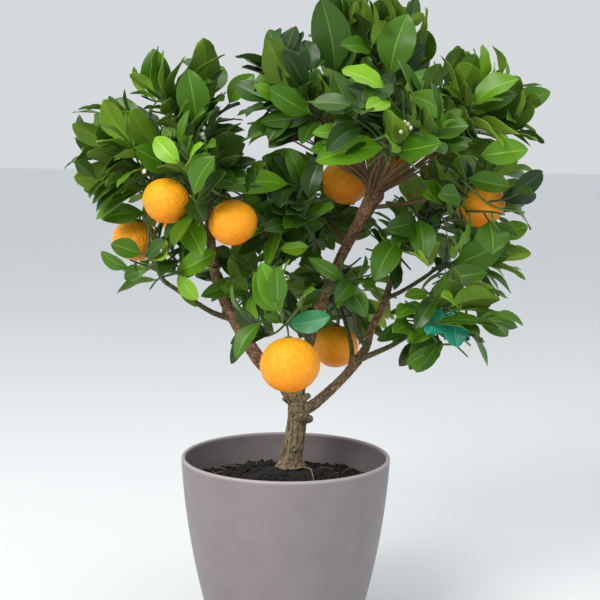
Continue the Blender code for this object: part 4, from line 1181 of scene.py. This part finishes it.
def tone_for(leaf, tones, rng):
    """The tone of a leaf's spray, chosen once for its twig, darker inside the crown as painted shade, with
    a few leaves a step off it.
    """
    key = id(leaf.host)
    if key not in tones:
        outer = (leaf.root - CROWN_CENTRE).length > OUTER_REACH
        tones[key] = rng.choices(SPRAY_TONES, LIT_OUTER_WEIGHTS if outer else SHADED_INNER_WEIGHTS)[0]
    tone = tones[key]
    if rng.random() < STRAY_SHARE:
        step = SPRAY_TONES.index(tone) + rng.choice((-1, 1))
        tone = SPRAY_TONES[min(max(step, 0), len(SPRAY_TONES) - 1)]
    return tone


def open_sights():
    """Each line of sight that stays open: its way, its length, its radius and the share kept clear."""
    sights = [(metres(point), metres(radius), share) for point, radius, share in SIGHTS]
    sights += [(point[:3], BOUGH_CLEAR, 1.0) for point in BOUGH_SIGHT]
    ways = [Vector(point) - Vector(CAMERA_PLACE) for point, _, _ in sights]
    return [(way.normalized(), way.length, radius, share) for way, (_, radius, share) in zip(ways, sights)]


def stands_in(leaf, sights):
    """Whether a leaf stands in one of the lines of sight."""
    eye = Vector(CAMERA_PLACE)
    along = leaf.tip - leaf.root
    aside = leaf.axes()[1] * leaf.width * ASIDE_SHARE
    spots = [leaf.root + along * t for t in LEAF_SPOTS]
    spots += [leaf.root + along * 0.5 + aside, leaf.root + along * 0.5 - aside]
    for way, depth, radius, share in sights:
        for spot in spots:
            reach = (spot - eye).dot(way)
            if reach > depth + radius * BEHIND_SHARE:
                continue
            if (spot - eye - way * reach).length * depth / reach < radius * share:
                return True
    return False


def clear_sights():
    """Takes out the filling leaves that stand in a line of sight, and the twigs that bear nothing then."""
    sights = open_sights()
    for mass in MASSES.values():
        mass.leaves = [leaf for leaf in mass.leaves if leaf.tone or not stands_in(leaf, sights)]
        bearing = set()
        for leaf in mass.leaves:
            twig = leaf.host
            while twig and id(twig) not in bearing:
                bearing.add(id(twig))
                twig = twig.parent
        stalks = mass.twigs[:len(mass.fruits)]
        twigs = mass.twigs[len(mass.fruits):]
        mass.twigs = stalks + [twig for twig in twigs if id(twig) in bearing]


def make_leaves():
    """Every leaf as its own sheet, in its own tone or its spray's."""
    rng = random.Random(LEAF_SEED)
    pile = Pile("leaves", tone_finishes())
    names = list(TONES)
    tones = {}
    for mass in MASSES.values():
        for leaf in mass.leaves:
            tone = tone_for(leaf, tones, rng)
            width = leaf.width * (1.0 if leaf.tone else BLADE_SHARE)
            shape, picks = leaf_sheet(leaf, width, rng)
            first = names.index(leaf.tone or tone) * TONE_PARTS
            pile.add(shape, [first + pick for pick in picks])
    pile.build(list(MASSES), sharp=LEAF_CREASE)


def fine_tube(route, radii, sides, scale=1.0):
    """A smooth tube along a twig."""
    points = [(*p, r * scale) for p, r in zip(route, radii)]
    return sweep(*smooth_route(points, TWIG_STEP), sides)


def make_twigs():
    """Stems and the fan on the bough's knob in brown, twigs and fruit stalks in green."""
    rng = random.Random(TWIG_SEED)
    green, brown, young = range(3)
    pile = Pile("twigs", [
        plain("twig_green", (0.045, 0.085, 0.022), 0.62),
        plain("twig_brown", (0.165, 0.1, 0.048), 0.85, 0.3),
        plain("twig_young", (0.09, 0.19, 0.035), 0.55),
    ])
    for name, mass in MASSES.items():
        stem = mass.stem
        fans = name.startswith(FAN_MASSES)
        woody = fans or mass.limb.startswith("bough")
        pile.add(fine_tube(stem.route, stem.radii, STEM_TUBE_SIDES, STEM_SLIM), brown if woody else green)
        for twig in mass.twigs:
            pick = green if rng.random() < OLD_TWIGS else young
            pile.add(fine_tube(twig.route, twig.radii, TUBE_SIDES, TWIG_SLIM), pick)
        for _ in range(FAN_COUNT if fans else 0):
            foot = stem.route[0] + drawn(rng, -FAN_FOOT, FAN_FOOT)
            end = stem.route[-1] + drawn(rng, -FAN_END, FAN_END)
            pull = foot.lerp(end, 0.45) + drawn(rng, -FAN_BEND, FAN_BEND)
            pile.add(fine_tube(bend(foot, end, pull, 5), taper(FAN_RADII, 5), TUBE_SIDES), brown)
    pile.build(list(MASSES))


def ripe_fruit(fruit, number):
    """Vertices and faces of a fruit with pitted peel and a dimple where its stalk ends."""
    bm = bmesh.new()
    bmesh.ops.create_icosphere(bm, subdivisions=PEEL_ROUNDS, radius=fruit.diameter / 2)
    shift = Vector((number * 3.1, number * 1.7, 0.0))
    for vert in bm.verts:
        way = vert.co.normalized()
        lump = noise.noise(way * LUMP_SCALE + shift) * LUMP_DEPTH
        pit = noise.noise(vert.co * PIT_SCALE + shift)
        dimple = math.exp(-((1 - way.z) / DIMPLE_SPREAD)) * DIMPLE_DEPTH
        vert.co -= way * (LUMP_DEPTH + max(0.0, pit) * PIT_DEPTH + dimple - lump)
    bmesh.ops.transform(bm, matrix=fruit_place(fruit), verts=bm.verts)
    return shape_of(bm)


def button(fruit):
    """The five-lobed green button between a fruit and its stalk."""
    top = fruit.centre + fruit.axis * (fruit.diameter / 2 * FRUIT_SQUASH - LUMP_DEPTH - DIMPLE_DEPTH)
    side = fruit.axis.orthogonal().normalized()
    other = fruit.axis.cross(side)
    verts = []
    for radius, rise in BUTTON_RINGS:
        for k in range(BUTTON_SIDES):
            angle = 2 * math.pi * k / BUTTON_SIDES
            reach = radius * (1 + LOBE_DEPTH * math.cos(BUTTON_LOBES * angle))
            way = side * math.cos(angle) + other * math.sin(angle)
            verts.append(top + way * reach + fruit.axis * rise)
    return verts, ring_faces(len(BUTTON_RINGS), BUTTON_SIDES)


def add_buds(pile, place, count, white, green):
    """A few small white buds on short green stalks round a place."""
    rng = random.Random(count * 7 + 1)
    foot = place + BUD_FOOT
    for _ in range(count):
        tip = place + drawn(rng, -BUD_SPREAD, BUD_SPREAD)
        pile.add(fine_tube([foot, foot.lerp(tip, 0.5), tip], BUD_STALK, TUBE_SIDES), green)
        pile.add(round_form(3, 1.0, placed(tip, tip - foot, BUD_SIZE)), white)


def make_fruit():
    """All fruit in one piece, and all buttons and buds in another."""
    verts, faces, painted_shade_below = [], [], []
    for number, fruit in enumerate(all_fruit(), 1):
        shape = ripe_fruit(fruit, number)
        join(verts, faces, shape)
        # How far below its centre each point lies sets its painted shade
        depths = [(fruit.centre.z - v.z) / fruit.diameter for v in shape[0]]
        painted_shade_below += [clamp(SHADE_BELOW_MIDDLE + depth * SHADE_BELOW_RATE) for depth in depths]
    piece = make_object("fruit", verts, faces, [peel_finish()])
    store(piece, "painted_shade_below", painted_shade_below)
    hand_over(piece, [name for name, mass in MASSES.items() if mass.fruits])
    pile = Pile("buttons_and_buds", [
        plain("button_green", (0.06, 0.13, 0.03), 0.6),
        plain("bud_white", (0.82, 0.8, 0.56), 0.5),
        plain("bud_green", (0.22, 0.36, 0.08), 0.5),
    ])
    for fruit in all_fruit():
        pile.add(button(fruit), 0)
    for place, count in BUDS:
        add_buds(pile, Vector(place), count, white=1, green=2)
    pile.build(None)


def make_pot():
    """The pot's shell: underside, outer wall, rounded lip, inner wall and inner floor."""
    foot = pot_radius(POT_HEIGHT)
    profile = [(foot - FOOT_RING - FOOT_HOLLOW, FOOT_HOLLOW), (foot - FOOT_RING, 0.0)]
    for k in range(FOOT_STEPS + 1):
        angle = math.pi / 2 * k / FOOT_STEPS
        profile.append((foot - FOOT_ROUND * (1 - math.sin(angle)), FOOT_ROUND * (1 - math.cos(angle))))
    levels = [POT_HEIGHT * k / WALL_STEPS for k in range(1, WALL_STEPS)]
    profile += [(pot_radius(POT_HEIGHT - z), z) for z in levels]
    lip = LIP_WIDTH / 2
    for k in range(LIP_STEPS + 1):
        angle = math.pi * k / LIP_STEPS
        profile.append((RIM_RADIUS - lip + lip * math.cos(angle), POT_HEIGHT - lip + lip * math.sin(angle)))
    profile += [(pot_radius(POT_HEIGHT - z) - POT_WALL, z) for z in reversed(levels[1:])]
    profile.append((foot - POT_WALL - 0.001, POT_FLOOR))
    verts = [v for radius, z in profile for v in level_ring(0.0, 0.0, z, radius, POT_SEGMENTS)]
    pot = make_object("pot_shell", verts, ring_faces(len(profile), POT_SEGMENTS), [pot_finish()])
    pot.data.set_sharp_from_angle(angle=math.radians(POT_CREASE))
    hand_over(pot, ["pot"])


def heap_rise(t):
    """The soil's rise at a share of the way in from the wall to the trunk."""
    return SOIL_HEAP * (3 * t ** 2 - 2 * t ** 3)


def make_soil():
    """Crumbled soil heaped to the trunk, with lumps, pale fibres and one root that shows."""
    finish = soil_finish()
    verts = []
    for k in range(SOIL_SIDE_RINGS):
        level = POT_FLOOR + GAP + (SOIL_TOP - SOIL_SHOULDER - POT_FLOOR) * k / (SOIL_SIDE_RINGS - 1)
        wall = pot_radius(POT_HEIGHT - level) - POT_WALL - WALL_CLEAR
        verts += level_ring(0.0, 0.0, level, wall, SOIL_SEGMENTS)
    for k in range(1, SOIL_RINGS + 1):
        t = k / SOIL_RINGS
        x, y = (p * t for p in TRUNK_FOOT)
        ring = level_ring(x, y, SOIL_TOP + heap_rise(t), wall + (SOIL_HOLE - wall) * t, SOIL_SEGMENTS)
        for point in ring:
            coarse = noise.fractal(point * SOIL_GRAIN, 1.0, 2.0, 5)
            point.z += coarse * SOIL_RELIEF - SOIL_SINK + FOOT_MOUND * t ** 4
        verts += ring
    pile = Pile("soil_surface", [finish])
    pile.add((verts, ring_faces(SOIL_SIDE_RINGS + SOIL_RINGS, SOIL_SEGMENTS)), 0)
    pile.build(["soil"])
    lumps = Pile("soil_lumps", [finish, plain("soil_fibre", (0.26, 0.17, 0.09), 0.8)])
    add_crumbs(lumps, wall)
    lumps.add(sweep(*smooth_route(BARE_ROOT, BARK_SAMPLE), ROOT_SIDES), 1)
    lumps.build(["soil"])


def add_crumbs(lumps, wall):
    """Lumps and fibres lying on the soil inside the pot's wall."""
    rng = random.Random(SOIL_SEED)
    form = round_form(2)
    small, middle, large = LUMP_SIZES
    for _ in range(LUMP_COUNT):
        point = soil_point(rng, wall)
        size = rng.uniform(small, middle) if rng.random() < SMALL_LUMPS else rng.uniform(middle, large)
        stretch = drawn(rng, *LUMP_STRETCH)
        shift = drawn(rng, 0, 9)
        reaches = [size * (1 + LUMP_ROUGH * noise.noise(v * LUMP_GRAIN + shift)) for v in form[0]]
        lumps.add(([point + v * stretch * reach for v, reach in zip(form[0], reaches)], form[1]), 0)
    for _ in range(FIBRE_COUNT):
        start = soil_point(rng, wall)
        angle = rng.uniform(0, 2 * math.pi)
        length = rng.uniform(*FIBRE_LENGTH)
        end = start + Vector((math.cos(angle), math.sin(angle), rng.uniform(*FIBRE_RISE))) * length
        if end.xy.length > wall - FIBRE_MARGIN:
            continue
        aside = Vector((rng.uniform(*FIBRE_BEND), rng.uniform(*FIBRE_BEND), FIBRE_LIFT))
        pull = start.lerp(end, 0.5) + aside * length
        lumps.add(sweep(bend(start, end, pull, 6), taper(FIBRE_RADII, 6), 5), 1)


def soil_point(rng, wall):
    """A random place on the soil's top."""
    angle = rng.uniform(0, 2 * math.pi)
    t = 1 - math.sqrt(rng.uniform(0.03, 1.0))
    radius = wall - 0.002 + (0.012 - wall) * t
    x = TRUNK_FOOT[0] * t + radius * math.cos(angle)
    y = TRUNK_FOOT[1] * t + radius * math.sin(angle)
    return Vector((x, y, SOIL_TOP + heap_rise(t) - CRUMB_SINK))


def make_bark():
    """Trunk, boughs and branches grown into one skin, with fissures along them, knots and stubs."""
    verts, faces, samples = [], [], []
    for number, (name, points) in enumerate(LIMBS.items()):
        route, radii = smooth_route(points, BARK_SAMPLE)
        join(verts, faces, sweep(route, radii, BARK_SIDES))
        run = number * 0.7
        for k, (point, radius) in enumerate(zip(route, radii)):
            after = route[min(k + 1, len(route) - 1)]
            before = route[max(k - 1, 0)]
            samples.append((point, (after - before).normalized(), run, radius, name))
            run += (after - point).length
    for points in STUBS:
        join(verts, faces, sweep(*smooth_route(points, BARK_SAMPLE), STUB_SIDES))
    for centre, size in KNOTS:
        form = round_form(3)
        join(verts, faces, ([Vector(centre) + v * size for v in form[0]], form[1]))
    bark = make_object("bark_limbs", verts, faces, [bark_finish()])
    skin = bark.modifiers.new("skin", "REMESH")
    skin.mode = "VOXEL"
    skin.voxel_size = BARK_VOXEL
    evaluated = bark.evaluated_get(bpy.context.evaluated_depsgraph_get())
    mesh = bpy.data.meshes.new_from_object(evaluated)
    bark.modifiers.clear()
    bark.data = mesh
    carve_bark(bark, samples)
    mesh.shade_smooth()
    hand_over(bark, list(LIMBS))


def carve_bark(bark, samples):
    """Moves the skin's points in and out, and keeps how deep each lies, as a tone darkened in the fissures
    for painted shade, and what limb it is on.
    """
    tree = KDTree(len(samples))
    for index, sample in enumerate(samples):
        tree.insert(sample[0], index)
    tree.balance()
    verts = bark.data.vertices
    normals = [v.normal.copy() for v in verts]
    mottle_and_crack_shades, boughs, branches = [], [], []
    for vert, normal in zip(verts, normals):
        place, index, _ = tree.find(vert.co)
        _, way, run, radius, name = samples[index]
        spot = (vert.co - place) * ACROSS_RATE + way * run * ALONG_RATE
        coarse = noise.noise(spot + Vector((5.3, 0, 0)))
        cracks = 1 - abs(noise.noise(spot * CRACK_RATE + Vector((0, 7.1, 0)))) * 2
        fine = noise.fractal(spot * FINE_RATE, 1.0, 2.0, 4)
        patterns = (coarse, fine, max(0.0, cracks) ** CRACK_POWER, noise.noise(vert.co * RING_RATE))
        lift = sum(share * pattern for share, pattern in zip(BARK_LIFT, patterns))
        vert.co += normal * (BARK_DEPTH * min(radius, DEEPEST_RADIUS)) * lift
        # The bark's mottle, with the fissures darkened: painted shade in the cracks
        shade = sum((share * pattern for share, pattern in zip(BARK_MOTTLE_AND_CRACK_SHADE, patterns)), SHADE_MIDDLE)
        mottle_and_crack_shades.append(clamp(shade))
        boughs.append(0.0 if name == "trunk" else clamp((vert.co.z - FORK_LEVEL) / FORK_FADE))
        branches.append(clamp((THIN_RADIUS - radius) / THIN_FADE))
    store(bark, "relief", mottle_and_crack_shades)
    store(bark, "bough_share", boughs)
    store(bark, "branch_share", branches)


def make_stage():
    """A wide plain pale floor."""
    verts = [Vector((x, y, 0.0)) * FLOOR_REACH for x, y in ((-1, -1), (1, -1), (1, 1), (-1, 1))]
    finish = Finish("floor_paint", roughness=0.85)
    paint = finish.coloured(finish.ramp(finish.noise(scale=1.6, detail=2.0), FLOOR_TONES))
    make_object("floor", verts, [(0, 1, 2, 3)], [paint])


def make_light():
    """Soft daylight from the upper left, a cooler fill from the right and a pale surround."""
    for name, (place, aim, size, power, colour) in LIGHTS.items():
        lamp = bpy.data.lights.new(name, "AREA")
        lamp.size = size
        lamp.energy = power
        lamp.color = colour
        made = add_to_scene(name, lamp)
        made.location = place
        made.rotation_euler = (Vector(aim) - Vector(place)).to_track_quat("-Z", "Y").to_euler()
    world = bpy.data.worlds.new("surround")
    world.use_nodes = True
    background = world.node_tree.nodes["Background"]
    background.inputs["Color"].default_value = (*SURROUND, 1.0)
    background.inputs["Strength"].default_value = SURROUND_STRENGTH
    bpy.context.scene.world = world
    bpy.context.scene.view_settings.view_transform = "Standard"


def make_camera():
    """The camera at the photograph's viewing angle."""
    lens = bpy.data.cameras.new("camera")
    lens.sensor_width = SENSOR
    lens.lens = SENSOR * FOCAL_PIXELS / FRAME_PIXELS
    lens.clip_start = 0.01
    camera = add_to_scene("camera", lens)
    tilt = Matrix.Rotation(math.radians(90 - CAMERA_DIP), 4, "X")
    roll = Matrix.Rotation(math.radians(CAMERA_ROLL), 4, "Z")
    camera.matrix_world = Matrix.Translation(CAMERA_PLACE) @ tilt @ roll
    bpy.context.scene.camera = camera


def main():
    """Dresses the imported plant."""
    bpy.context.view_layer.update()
    make_camera()
    Growth()
    clear_sights()
    make_pot()
    make_soil()
    make_bark()
    make_twigs()
    make_leaves()
    make_fruit()
    make_stage()
    make_light()


main()
